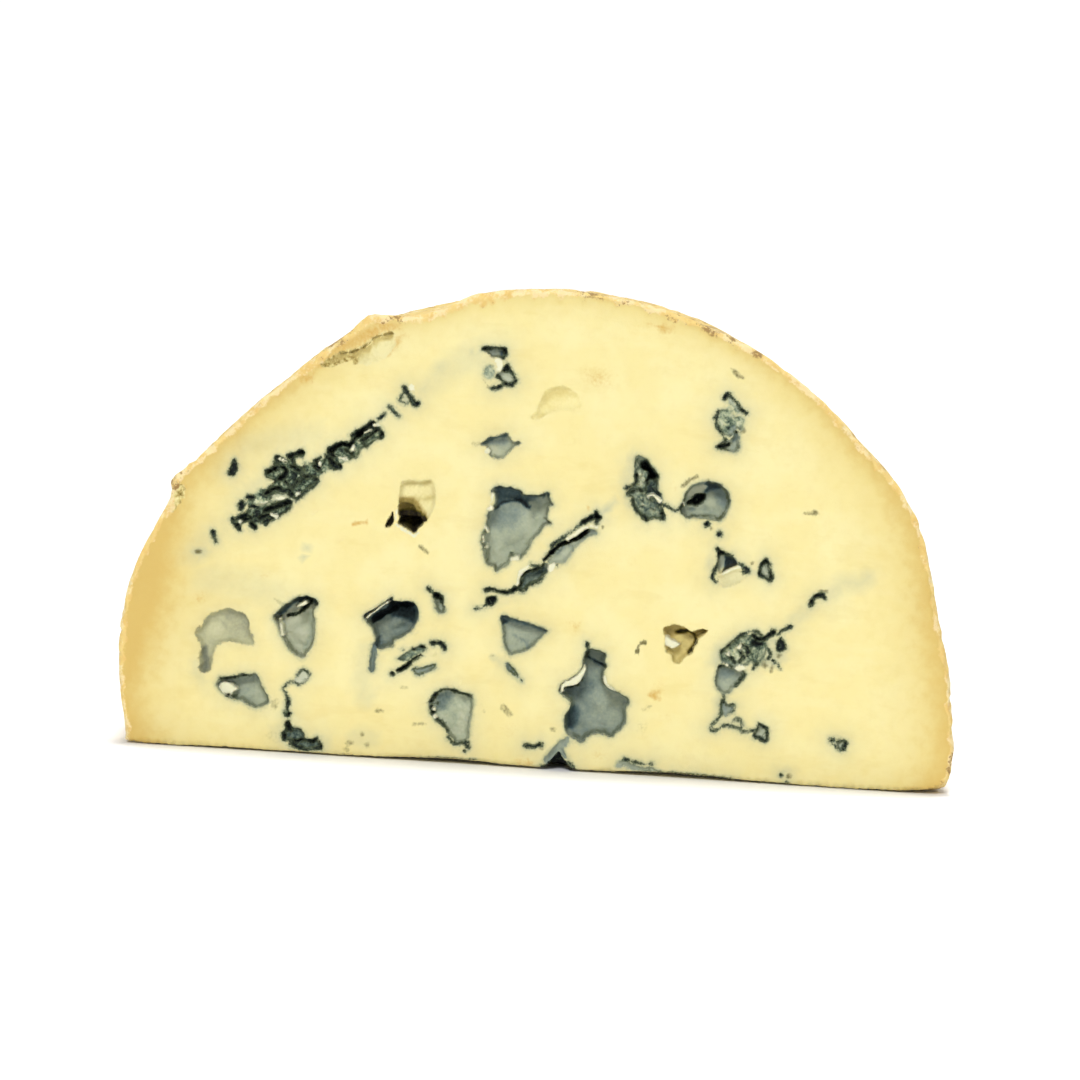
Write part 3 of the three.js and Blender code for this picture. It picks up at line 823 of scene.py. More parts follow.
HAMMER = Cluster((-9.3, 61.5), (
    Stain(oval(-9.6, 61.6, 5.5, 7), strength=0.4, soft=1.2),
    Pocket(((-12, 64.2), (-11.3, 64.6), (-10, 64.8), (-8.5, 64.6), (-8, 64), (-8.2, 63.4),
            (-8.5, 62.9), (-9.6, 63.3), (-10.4, 63.1), (-10.9, 63.7)),
           depth=1.4, tone=0.4, rim=0.8, warm=0.08),
    Shade(((-9, 64.2), (-8.2, 64), (-8.4, 63), (-9, 63.4)), tone=0.85, soft=0.3),
    Pocket(((-8.6, 61.1), (-7.5, 61), (-6.8, 60.2), (-6.4, 59.7), (-7, 59.3), (-8, 59.3),
            (-9.3, 60.3)), depth=1.2, tone=0.1, rim=0.3),
    Pocket(((-11, 61.5), (-10.3, 61.8), (-9.9, 60.6), (-10.2, 59.9), (-11.2, 60.1)),
           depth=0.5, tone=0.16, rim=0.0, crumbs=0.4),
    Flake(((-9.7, 62.7), (-9.1, 63), (-8.6, 62.6), (-8.5, 62), (-8.8, 61.1), (-9.3, 61.3),
           (-9.4, 62)), ragged=0.34, depth=0.1),
    # Painted shadow of the upper wall along the top of the pocket, drawn as a vein over a real
    # crack.
    Vein(((-11.8, 64.3), (-10, 64.6), (-8.5, 64.4), (-8.2, 63.8), (-8.5, 63.1)), 0.45),
    Vein(((-8.1, 62.4), (-7.5, 62.2), (-7.4, 61.2), (-8.5, 61), (-8.6, 61.4)), depth=1.8),
    Vein(((-7.4, 61.4), (-6.7, 60.3)), 0.35),
    Vein(((-7.9, 59.2), (-7, 59.2), (-6.3, 59.8)), 0.45),
    Vein(oval(-6.9, 59, 0.5)),
    Vein(((-9.3, 60.3), (-8.6, 59.8), (-8, 59.3)), 0.35, depth=0.4),
    Vein(((-9.8, 58.4), (-9.2, 58.4), (-8.7, 58.7)), 0.45),
    Olive(((-11.3, 59.6), (-10.6, 58.6), (-9.8, 58.3)), 0.4, strength=0.7, soft=0.3),
    *spots(Olive, (-10.4, 61.7, 0.7, 0.7, 0.8, 0.3), (-10.5, 60.5, 0.7, 0.7, 0.7, 0.3)),
))
NET_HIGH = Cluster((27, 55), (
    Stain(oval(27.3, 55.5, 6, 8), strength=0.35, soft=1.4),
    Pocket(((26.5, 59.3), (27.2, 58.9), (28.2, 57.9), (29, 57.1), (28, 56.9), (27.4, 57.8),
            (26.6, 58.6)), depth=0.5, tone=0.25, lift=0.0, rim=0.0),
    Crumbly(((24.6, 56.1), (25, 56.9), (26, 57.6), (26.9, 57.5), (27.6, 56.6), (29, 56.5),
             (28.9, 54.6), (28, 54.4), (27.6, 53.6), (26.6, 53.3), (25.9, 53.7), (24.9, 55.2)),
            depth=0.9, tone=0.12, rim=0.15, crumbs=0.6),
    Shade(((26.6, 56.3), (26.9, 55.2), (26.6, 54.4)), 0.8, tone=0.42, soft=0.4),
    Shade(oval(27.8, 57.2, 1.0), tone=0.4, soft=0.3),
    Pocket(((26.3, 52.9), (25.7, 52.4), (25.2, 51.8), (25.5, 51.3), (26.5, 51.1), (28.1, 50.9),
            (28.6, 51.8), (28.4, 53.8), (28, 54.4), (27.6, 53.6), (27.1, 52.7)),
           depth=1.5, tone=0.3, rim=0.9),
    Shade(((27.6, 53.6), (28.2, 54.2), (28.3, 53), (27.6, 52.6)), tone=0.62, soft=0.25),
    Vein(((25.9, 59.2), (26.2, 59.7), (26.8, 59.5), (27.4, 58.9), (28.4, 57.7), (29.4, 57.1)), 0.5),
    Vein(((24.5, 56), (24.9, 56.5)), 0.45, depth=0.4),
    Vein(((25, 57), (24.8, 55.3), (25.3, 54.3), (26, 53.5), (26.3, 52.8)), 0.4, depth=0.5),
    Vein(((25.4, 51.6), (26.2, 51.7), (27, 52.1)), 0.6),
    Vein(((26.3, 53), (26.4, 52.2), (25.8, 51.8)), 0.4),
    Vein(oval(28, 54.1, 0.6)),
    Olive(oval(28.9, 54.4, 1.0), strength=0.9, soft=0.3),
    Olive(((26.7, 63.7), (27.5, 62.9), (28.5, 62.4)), 0.5, strength=0.8, soft=0.35),
))
KNOT_LOW = Cluster((-44, 36.7), (
    Crumbly(((-48.7, 35.8), (-47.8, 35.6), (-46.9, 36.5), (-46.6, 37.2), (-44.9, 38.2),
             (-43.8, 38.8), (-42.5, 38.8), (-40, 39.2), (-39.7, 38), (-40.2, 37.2), (-41.2, 36.8),
             (-41.8, 36.2), (-42.8, 35.8), (-43.3, 35), (-44.6, 35.4), (-45, 34.2), (-45.7, 34.6),
             (-46.3, 35.3), (-47.2, 34.8), (-47.5, 34), (-48.5, 35)), depth=1.5, tone=0.52),
    Vein(((-48.6, 35.7), (-48.2, 34.9), (-47.5, 34.2)), 0.6),
    Vein(((-48, 35.7), (-47, 36.2), (-46.2, 36.4), (-46, 35.8), (-46.8, 35.6)), 0.7),
    Vein(((-45.9, 35.2), (-45.2, 34.5)), 0.7),
    Vein(((-44.5, 36), (-43.5, 36.4), (-42.6, 36.2), (-43.6, 35.4)), 0.7),
    Vein(((-43.8, 37.2), (-42.7, 37.7), (-41.7, 38.2), (-40.2, 38.8)), 0.9, depth=1.4),
    Vein(((-46, 37.8), (-44.9, 37.6)), 0.5),
    *dots(Vein, (-46.1, 39.2, 1.6, 0.8), (-47.4, 37.9, 1.1, 1.7)),
    Flake(oval(-47.5, 35.2, 0.6)),
    Flake(((-42.7, 36.6), (-42, 36.5)), 0.5),
    Flake(((-43.6, 38.6), (-44.2, 38.4)), 0.4),
    Vein(((-51.5, 33.5), (-51.4, 32.7), (-51, 32.1)), 0.6),
    Stain(oval(-53.4, 30.3, 2.6, 1.6), strength=0.7, soft=0.8),
    Olive(oval(-53.6, 30.3, 1.1, 0.7), strength=1.0, soft=0.4),
    Vein(((-48.9, 45), (-48.5, 44.5), (-48.3, 43.5), (-48.8, 42.3), (-49.3, 42.3), (-49.7, 42.6),
          (-49.6, 43.2), (-49.3, 44.2))),
))
KNOT_MIDDLE = Cluster((-40, 42.5), (
    Stain(((-46, 38), (-42, 41.5), (-37.5, 43.5)), 5.0, strength=0.45, soft=1.6),
    Crumbly(((-38.2, 44.2), (-37.2, 45.2), (-35.8, 45.7), (-34.6, 44.6), (-35.6, 43.2),
             (-37.2, 42.4)), ragged=0.4, depth=0.7, tone=0.14, rim=0.4, crumbs=0.7),
    Crumbly(((-46.6, 38.4), (-45.6, 39.6), (-44.4, 40.6), (-43.4, 40.4), (-43, 39.2), (-44.6, 38)),
            ragged=0.4, depth=0.5, tone=0.1, rim=0.2, crumbs=0.7),
    Crumbly(((-44, 43.6), (-43, 44.3), (-42.4, 45.8), (-40.5, 45.2), (-40.6, 46), (-39.2, 46.9),
             (-38.4, 46.8), (-38.3, 46), (-39.3, 45.6), (-39.4, 44.8), (-38, 44), (-36.5, 43.3),
             (-35.5, 42.6), (-36.3, 41.6), (-38, 40.4), (-38.8, 39.2), (-39.6, 39.6), (-41, 40.2),
             (-43.6, 39.6), (-44, 40.2), (-42.6, 41.8), (-43.8, 42.4)), depth=1.5, tone=0.5),
    Shade(((-43, 44), (-42.3, 45.2), (-41.3, 44.9), (-41.3, 44)), tone=0.72, soft=0.3),
    Vein(((-43.9, 39.8), (-43.2, 40.4), (-42.2, 40.8), (-41.2, 40.4), (-40.4, 40.6),
          (-39.8, 39.9)), 0.6),
    Vein(((-43.4, 43.4), (-42.6, 43.9), (-41.4, 44), (-41, 43.2), (-41.8, 42.2)), 0.8, depth=1.4),
    Vein(((-42.4, 45.6), (-42.2, 44.6), (-42.9, 43.6)), 0.45),
    Vein(((-40.4, 46), (-39.5, 46.4), (-38.7, 46.6)), 0.75),
    Vein(((-39.6, 41), (-39.2, 41.8), (-39, 42.3)), 0.6),
    Vein(((-40.9, 41.9), (-40.2, 41.2)), 0.5),
    Vein(((-40.2, 44.4), (-39, 43.8), (-37.6, 42.9), (-36.8, 43)), 0.5, depth=0.4),
    Vein(((-38.9, 39.3), (-37.9, 40.4), (-36.8, 41.2), (-35.6, 42.4)), 0.4, depth=0.4),
    Stain(((-45, 38.8), (-42, 39.5), (-39.8, 39.7)), 1.6, strength=1.0, soft=0.4),
    Flake(((-42.2, 39.2), (-41.5, 39.5), (-40.9, 39.4), (-41.4, 39.1)), ragged=0.3, depth=0.1),
    Flake(oval(-38.9, 40.2, 0.55)),
    Flake(((-42, 45.3), (-41, 45)), 0.3),
))
KNOT_HIGH = Cluster((-31, 48), (
    Crumbly(((-36.8, 44.6), (-36.4, 45.6), (-35.2, 46), (-34.2, 47.6), (-33.2, 48.4), (-32, 48.8),
             (-31.2, 48.6), (-31, 49.6), (-29.8, 50.8), (-28, 52.2), (-27.4, 51.6), (-26.6, 51.2),
             (-26.1, 50.2), (-26.6, 49.6), (-27.8, 48.9), (-28.8, 48), (-29.6, 47.6),
             (-30.4, 46.2), (-32.3, 45.4), (-32.3, 44.6), (-33.8, 44.3), (-34.6, 44.6),
             (-35.8, 43.9)), depth=1.6, tone=0.46, crumbs=0.7),
    Vein(((-34.3, 47.3), (-33.3, 48), (-32.4, 48.3), (-31.2, 48.2), (-30.6, 49.3),
          (-29.7, 50.2)), 0.8, depth=1.6),
    Vein(((-31, 49.7), (-30, 50.3), (-29, 51.1), (-28, 51.8)), 0.75, depth=1.2),
    Vein(((-29.6, 48.9), (-28.4, 49.7), (-27.3, 50.7)), 0.45),
    Vein(((-29.4, 48.6), (-28.7, 48.1)), 0.4),
    Vein(((-27.1, 51), (-26.5, 50.3), (-26.6, 49.8)), 0.6),
    Vein(((-34.8, 46.2), (-34, 45.4), (-33.4, 44.8), (-32.6, 44.8)), 0.8),
    Vein(((-34.6, 46.8), (-33.8, 46.2)), 0.5),
    Vein(((-36.6, 44.6), (-35.9, 44.1)), 0.6),
    Vein(((-36.6, 45.4), (-35.6, 46)), 0.4),
    Vein(((-32, 47.4), (-31, 46.7), (-30.4, 46.4)), 0.45),
    Flake(((-33, 46.2), (-32, 46.4), (-31.3, 45.9), (-32.2, 45.7))),
    Flake(((-31.2, 47.5), (-30.7, 48.3), (-30.4, 47.7), (-30.8, 47.2))),
    Flake(oval(-35.7, 45.1, 0.6, 0.8)),
    Flake(((-27.8, 51.5), (-27, 51.6)), 0.35),
    Flake(((-29, 50.3), (-28.3, 50.7)), 0.35),
    Vein(((-27, 52.5), (-26.2, 53.4)), 0.45, depth=0.5),
    Vein(((-25.6, 54.5), (-24.1, 53.2)), 0.4, depth=0.4),
    Vein(((-23.4, 57.6), (-22.8, 56.6), (-21.8, 55.2), (-21.1, 55.4)), 0.6),
    Vein(((-23.5, 56.8), (-24, 55.6), (-22.9, 55.2)), 0.35, depth=0.3),
    Stain(oval(-22.9, 56, 1.6), strength=0.9),
    Flake(oval(-22.4, 57.7, 0.7, 0.8), depth=0.1),
))
CLUSTER_RIGHT = Cluster((32, 19.5), (
    Stain(((29, 19), (32, 21), (35.5, 20.5)), 5.0, strength=0.75, soft=1.2),
    Crumbly(((28, 20), (29.5, 21.6), (31.5, 22.8), (33.6, 23.3), (34.6, 22.6), (35, 21),
             (34.6, 19.4), (33.6, 18), (32.6, 18.6), (31.4, 17.8), (30, 17.6), (28.3, 18.4)),
            depth=1.6, tone=0.22, rim=0.5, crumbs=0.6),
    Pocket(((27.6, 17.5), (28.6, 17.8), (30, 17.5), (31.6, 17.4), (32, 16.4), (31, 15.2),
            (30.2, 14.6), (29.8, 13.8), (29, 13.3), (28.2, 13.9), (27.5, 15)),
           depth=1.8, tone=0.3, rim=0.8),
    Shade(((28.2, 17.2), (29.6, 17.3), (30.4, 16.6), (29.4, 15.8), (28.2, 16)), tone=0.52,
          soft=0.6),
    Shade(((32.2, 21.4), (33.4, 22.3), (34.4, 21.4), (34, 19.6), (33.4, 18.3), (32.7, 19.6)),
          tone=0.56, soft=0.4, depth=1.2),
    Shade(((32.9, 20.6), (33.8, 20.3), (33.5, 18.8)), tone=0.34, soft=0.4),
    # Painted shadow of the upper wall along the top of the hollow.
    Shade(((32.4, 21.9), (33.8, 22.2), (34.3, 21.4), (33, 21.2)), tone=0.95, soft=0.25),
    Vein(((28, 20), (29, 21), (30, 22.1), (32, 23.3), (33.2, 23.5), (34, 23)), 0.36),
    Vein(((32.6, 22.9), (33.8, 22.1), (35, 22.9), (36, 23.5)), 0.55, depth=1.2),
    Vein(oval(35.8, 23.6, 0.9, 0.8)),
    Vein(((36.5, 23.2), (37.2, 24), (38.5, 24.6)), 0.4),
    Vein(((36.4, 22), (37, 22.9), (37.6, 22), (37.9, 21.2), (37.3, 20.6), (36.6, 20.6))),
    Vein(((31, 19.8), (31.6, 19.2), (31, 18.6)), 0.5),
    Vein(((29.6, 18.9), (30.2, 18.4)), 0.45),
    Vein(((31, 21.2), (32, 20.8), (32.2, 19.6)), 0.4),
    Vein(((33.6, 18.4), (33.2, 17.8)), 0.5),
    Vein(((35.2, 20.8), (35.6, 20), (35.2, 19.4)), 0.4, halo=0.3),
    Vein(((36, 19.2), (36.8, 18.6), (37.2, 18)), 0.3, halo=0.2),
    Vein(((27.8, 17.6), (28.6, 17.9), (29.8, 17.7)), 0.3),
    Vein(((30.6, 15), (31.4, 15.8), (31.9, 16.8)), 0.36),
    Flake(((28.6, 19.6), (29.4, 20.2), (29.2, 19.4)), ragged=0.4),
    Flake(((30.2, 20.6), (30.9, 21.4), (31, 20.6)), ragged=0.4),
    Flake(((30.4, 17.6), (31.2, 18.1), (32, 17.8), (31.3, 17.2)), ragged=0.4),
    Flake(oval(29, 18, 0.5)),
    Olive(((34.3, 19), (34.8, 18.2)), 0.6, strength=0.9, soft=0.4),
    Olive(((36, 18.2), (35.9, 17.4)), 0.4, strength=0.8, soft=0.4),
    Olive(oval(37, 20, 0.9), strength=0.8, soft=0.5),
))
CHAIN = Cluster((30, 9.5), (
    Stain(((28.6, 12.4), (28.6, 9.4), (31.4, 9)), 2.2, strength=0.65, soft=0.7),
    Pocket(((28.3, 12), (29, 12.4), (29.8, 11.7), (30.6, 11.8), (30.5, 10.8), (29.8, 10.5),
            (29.2, 10.2), (28.4, 10.9)), ragged=0.34, depth=1.0, tone=0.4, rim=1.0),
    Vein(((28.9, 13), (28.6, 12.3), (28.5, 11.2), (28.5, 10.2), (28, 9.3), (27.3, 8.6), (27, 8),
          (27.8, 7.7), (28.5, 8.2), (29.5, 8.7), (30.5, 8.5), (31.5, 8.1), (32.5, 7.9),
          (33.8, 8.1)), 0.26, depth=0.4),
    Vein(((28.9, 13.1), (28.7, 12.2)), 0.45, depth=0.4),
    Vein(((29.8, 11.8), (30.7, 11.8), (30.4, 10.7)), 0.3, depth=0.4),
    Vein(((30.7, 9.6), (31.4, 9.7), (32, 9), (31.8, 8.4), (31, 8.5)), 0.26, depth=0.3),
    Pocket(((34.7, 9.2), (35.9, 8.6), (36.1, 6.9), (35.6, 6.5), (34.8, 6.9), (33.8, 7.3),
            (34.3, 8.2)), depth=1.2, tone=0.16, rim=0.4),
    Vein(((34.6, 9), (34.3, 8.2), (33.9, 7.3), (34.8, 7), (35.6, 6.6), (36, 6.9), (35.8, 8.5),
          (34.9, 9)), 0.3, depth=0.4),
    Vein(((34.6, 9.1), (35.4, 8.7)), 0.45, depth=0.4),
))
SMALL_RING = Cluster((47, 6.9), (
    Pocket(((45.7, 7.1), (46.2, 7.6), (47, 7.2), (47.7, 7.6), (48.3, 7.2), (48, 6.5), (47.7, 5.9),
            (47, 6.1), (46.6, 6.8)), depth=1.0, tone=0.25, rim=0.8),
    Vein(((46.8, 6.4), (46, 7.1), (46.3, 7.5), (47, 7.3), (47.7, 7.5), (48.2, 7.1), (47.8, 6.2),
          (47.3, 5.9), (46.8, 6.4)), 0.28, depth=0.3),
    *dots(Vein, (45.9, 7.3, 0.7), (47.9, 6, 0.6)),
    Stain(oval(47.2, 7.4, 4, 3), strength=0.35, soft=1.0),
))
SLUG = Cluster((42.3, 29.3), (
    Stain(((39, 25.5), (42, 28.5), (46, 31.3), (50, 33)), 2.0, strength=0.5, soft=1.2),
    Vein(((41.2, 27.8), (41, 28.5), (41.2, 29.2), (42, 29.9), (43, 30.1), (43.4, 29.6),
          (43.5, 29.1), (42.6, 29.4), (42, 29.1), (41.7, 28.3)), depth=1.2),
    Olive(((42.5, 30.3), (43.6, 30.5)), 0.5, strength=0.9, soft=0.3),
    Olive(((39.4, 42.2), (41, 42.4)), 0.5, strength=0.8, soft=0.35),
))
LOW_LEFT = Cluster((-36, 2.3), (
    Stain(((-38.6, 3), (-36, 1.2), (-33, 1.6)), 3.4, strength=0.5, soft=0.9),
    Crumbly(((-38.2, 4.8), (-37.6, 4), (-36.6, 3.9), (-35.6, 3.2), (-35.4, 2.4), (-34.5, 2.2),
             (-33.8, 2.6), (-33.2, 2), (-32.8, 1.2), (-34, 0.9), (-34.7, 0.5), (-36, 0.7),
             (-37, 1.2), (-37.8, 1.9), (-38.5, 1.9), (-38.9, 2.6), (-38.5, 4)), depth=1.5,
            tone=0.62, rim=0.6, crumbs=0.4),
    Vein(((-38.3, 4.5), (-37.9, 3.4)), 0.8),
    Vein(((-38.8, 3), (-38.6, 2.1)), 0.5),
    Vein(((-37.9, 2), (-36.8, 1.8), (-35.5, 2), (-34.3, 1.9)), 0.55),
    Vein(((-37.4, 1.4), (-36.3, 0.9), (-35.2, 0.6), (-34, 0.8), (-33, 1)), 0.45),
    Vein(((-34.1, 1.9), (-33.5, 2.5), (-33, 1.7), (-32.9, 1)), 0.4),
    Vein(oval(-37.7, 1.3, 0.4)),
))
LOW_MIDDLE = Cluster((3, 3), (
    Vein(((-1.5, 3.3), (-1.4, 3.8), (-0.5, 3.8), (0, 3.6), (1.2, 4), (1.2, 3.6), (0.2, 3.3),
          (-0.8, 3.1)), depth=0.8),
    Olive(((0.9, 3.4), (1.4, 3)), 0.35, strength=0.8, soft=0.3),
    Pocket(((1.7, 1.7), (2.6, 2.9), (4, 4.2), (5.1, 5.3), (5.4, 4.4), (4.6, 3.2), (5.4, 1.8),
            (3.9, 0.5), (2.3, 0.7)), depth=0.6, tone=0.4, lift=0.0, rim=0.1),
    # A dark line along the lower edge, where it meets the table.
    Vein(((1.6, 0.1), (2.8, 0.2), (3.9, 0.35), (5.2, 0.2), (6.4, 0.1)), 0.8, depth=0.2),
    Vein(((5.4, 1.3), (6.3, 0.7)), 0.35, depth=0.3),
    Ochre(oval(-1.5, 0.9, 3.0, 1.4), strength=0.5, soft=0.6),
))
LOW_RIGHT = Cluster((17, 1.7), (
    Pocket(((13.4, 1.3), (14.2, 1.8), (15.2, 1.3), (16.5, 0.9), (18, 0.9), (18.8, 0.5),
            (19.7, 0.2)), 0.9, depth=0.3, tone=0.3, lift=0.0, rim=0.7),
    Vein(((14, 2.3), (15.4, 2.1), (17, 1.8), (18.4, 1.9)), 0.22, depth=0.2),
    # A dark line along the lower edge, where it meets the table.
    Vein(((19.8, 0.1), (22, 0.25), (25, 0.3), (28, 0.2), (31, 0)), 0.36, depth=0.2),
    Vein(oval(38.5, 1.4, 0.6)),
    Olive(oval(39.7, 1.3, 0.7), strength=1.0, soft=0.3),
    Vein(oval(39.4, 0.4, 0.45)),
    Stain(oval(39.2, 1.4, 3, 2.4), strength=0.5, soft=1.0),
))
TRACES = Cluster((0, 30), (
    Stain(((-54, 30), (-48, 36), (-41, 42), (-33, 47), (-26, 53), (-21, 57), (-15, 62), (-11, 64)),
          3.4, strength=0.34, soft=1.8),
    # A dark line along the lower edge, where it meets the table.
    Vein(((-17, 0), (-14, 0.15), (-11, 0.2), (-9, 0.3)), 0.34, depth=0.2, halo=0.4),
    Stain(((-18.5, 61.3), (-17, 60.8)), 1.2, strength=0.5, soft=0.7),
    Stain(((-52, 26), (-46, 25.5), (-41, 24)), 4.0, strength=0.28, soft=2.2),
    Stain(((-47, 47), (-42, 48.5), (-37, 49.5)), 3.0, strength=0.3, soft=2.0),
    Stain(((-15, 63.2), (-12, 64)), 1.0, strength=0.6, soft=0.6),
    Olive(((-5, 9.1), (-4, 8.3)), 1.0, strength=0.6, soft=0.4),
    Olive(((17.6, 10.8), (16.5, 10.2)), 0.4, strength=0.4, soft=0.3),
    *spots(
        Stain,
        (-20.3, 57.5, 1.2, 1.2, 0.5, 0.5), (-36.8, 30.9, 0.9, 2.2, 0.8, 0.5),
        (-26.5, 3, 5, 3, 0.3, 1.0),
    ),
    *spots(
        Olive,
        (-24.2, 7.4, 1.3, 0.5, 0.7, 0.3), (-8, 8.4, 0.5, 0.5, 0.5, 0.3),
        (-20.6, 11.3, 1.0, 0.5, 0.4, 0.3), (2.8, 6.4, 1.4, 0.9, 0.6, 0.4),
        (17, 7.8, 1.3, 2, 0.55, 0.5), (-28.5, 2.1, 1.3, 0.8, 0.6, 0.4),
        (-26.5, 3.6, 0.8, 0.8, 0.6, 0.4), (-25.8, 2, 0.9, 0.9, 0.5, 0.4),
        (-28.8, 1.1, 0.8, 0.8, 0.5, 0.4), (-40.5, 2.2, 2.0, 2.0, 0.3, 0.8),
        (36.4, 13.2, 1.4, 1.0, 0.6, 0.5),
    ),
    *spots(
        Ochre,
        (5, 22.6, 1.3, 0.7, 0.7, 0.8), (18.6, 12.8, 1.8, 1.1, 1.1, 0.6),
        (19.8, 8.8, 1.0, 1.6, 0.5, 0.8), (-42.6, 27.1, 1.2, 0.8, 0.5, 0.8),
        (-53, 23.2, 1.3, 1.3, 0.5, 0.8), (17.5, 35, 1.4, 0.9, 0.35, 0.5),
        (13.3, 33, 1.4, 0.9, 0.3, 0.8), (34.8, 38.4, 1.2, 1.2, 0.35, 0.5),
        (18.8, 44.7, 0.9, 0.9, 0.6, 0.8), (5.5, 61.3, 3, 2, 0.3, 0.9),
        (3, 50.3, 1.6, 3, 0.2, 0.9), (-4, 6, 3, 3, 0.25, 1.2), (10.5, 2.5, 3, 1.6, 0.35, 0.8),
    ),
))
LUMP = Cluster((-31, 63), (
    Ochre(((-38, 60.8), (-35, 63.4), (-32, 65.6), (-29, 67.2), (-25.5, 67.8), (-24.6, 67),
           (-27, 66), (-30, 64), (-33, 62.6), (-36.4, 60.2)), strength=0.7, soft=0.7),
    Bare(((-31.4, 62.9), (-29.4, 63.6), (-28.2, 64.8), (-26.4, 65.6), (-25.4, 64.6), (-26.4, 62.4),
          (-28.4, 61.2), (-31, 60.8), (-32, 61.6)), ragged=0.4, depth=0.4, tone=0.04, warm=0.8,
         wall=1.6),
    Shade(oval(-30.6, 62.0, 2.2, 1.4), tone=0.26, soft=0.9),
    Bare(((-36.6, 61), (-35, 62.1), (-33.4, 62.6), (-31.6, 62.2), (-31.8, 61.2), (-33.6, 60.6),
          (-35.6, 60.2)), ragged=0.6, depth=0.4, tone=0.3, crumbs=0.6),
    Bare(((-33.8, 62.3), (-32, 62.6), (-30.6, 63.1), (-29.5, 63.9), (-28.4, 65), (-27.4, 65.5),
          (-26, 65.9)), 0.4, ragged=0.5, depth=0.8, tone=0.38, wall=0.5),
    Ochre(((-27, 67), (-29.5, 65.6), (-32, 64)), 1.2, strength=0.8, soft=0.6),
    Ochre(oval(-38.6, 58.2, 2.4, 1.2), strength=0.8, soft=0.7),
    Ochre(((-26.2, 62.6), (-25, 64.6), (-23.6, 65.8)), 0.9, strength=0.6, soft=0.7),
    Ochre(((11, 69.6), (14, 69.4), (17, 69.4)), 0.8, strength=0.8, soft=0.8),
    Ochre(oval(6.4, 61.2, 5, 3), strength=0.4, soft=1.4),
    Bare(((-59.4, 38), (-58.2, 40.4), (-56.6, 40.4), (-56.6, 38.4), (-58, 36.8), (-59.4, 36.6)),
         ragged=0.6, depth=0.4, tone=0.2, crumbs=0.6),
))
FRONT = (
    LUMP, TRACES, SHIELD, CRACK, FLAME, TRIANGLE, TEARDROP, HALF_MOON, RING_VEIN, SHALLOW_LEFT,
    DEEP_BLUE, SLITS, MOTTLED, LEAF, OVAL, CHUTE, WEDGE, HOLE, FLAP, SCAR, HAMMER, NET_HIGH,
    KNOT_LOW, KNOT_MIDDLE, KNOT_HIGH, CLUSTER_RIGHT, CHAIN, SMALL_RING, SLUG, LOW_LEFT,
    LOW_MIDDLE, LOW_RIGHT,
)

# The back face and the base were cut through the same growth, so theirs is of the same kinds. Their
# clusters are the front's, moved and turned, with the front's painted shadows in them.
BACK = (
    SHIELD.moved((14, 36), 70), OVAL.moved((-30, 27), 35), FLAME.moved((33, 15), 120, 0.8),
    TEARDROP.moved((-12, 55), -20), DEEP_BLUE.moved((-8, 18), 200), LEAF.moved((40, 40), 50),
    KNOT_HIGH.moved((32, 50), -12), KNOT_MIDDLE.moved((-41, 42), 25), CRACK.moved((4, 52), 12),
    HAMMER.moved((-26, 48), 110), CHUTE.moved((50, 24), 20, 0.9), MOTTLED.moved((-48, 20), 160),
    TRIANGLE.moved((-20, 36), 150), HALF_MOON.moved((10, 12), 30), SLITS.moved((18, 60), 15),
    CLUSTER_RIGHT.moved((-30, 11), 190), WEDGE.moved((-2, 27), 95), SLUG.moved((50, 10), 60),
    NET_HIGH.moved((-40, 53), 60, 0.7), SMALL_RING.moved((-54, 36), 40), SCAR.moved((30, 28), 80),
    CHAIN.moved((22, 22), 250), HOLE.moved((-10, 66), 200, 0.55), TRACES.moved((0, 32), 35),
)
# A dark line on the base round the arch that the front foot opens.
NOTCH = Cluster((3.9, -18), (
    Vein(((1.3, -21), (2.6, -16), (3.9, -13), (5.4, -16), (6.7, -21)), depth=0.2, halo=0.3),
))
BASE = (
    NOTCH,
    FLAME.moved((-27, 3), 105, 0.7), OVAL.moved((25, 6), 150, 0.8), LEAF.moved((2, -6), 20),
    HALF_MOON.moved((46, -8), 60), SLITS.moved((-50, -6), 15), CHAIN.moved((-8, 10), 200),
    CRACK.moved((8, 4), -30, 0.8), TRIANGLE.moved((-40, 10), 60, 0.8), SLUG.moved((36, 10), 10),
    SMALL_RING.moved((14, -13), 10), WEDGE.moved((-15, -9), 75, 0.8),
)


# ---- The rind --------------------------------------------------------------------------------


@dataclass(frozen=True)
class Swell:
    """A lump of the rind, or a dent where its height is below 0.

    Attributes:
        at: Its angle round the drum's axis, in degrees.
        spread: Its half width there, in degrees.
        height: How far it stands out.
        y: Its middle along the thickness.
        reach: Its half length there.
    """

    at: float
    spread: float
    height: float
    y: float
    reach: float

    def rise(self, angle: Array, y: Array) -> Array:
        """Its height at angles in degrees and places along the thickness."""
        return self.height * bell((angle - self.at) / self.spread) * bell((y - self.y) / self.reach)


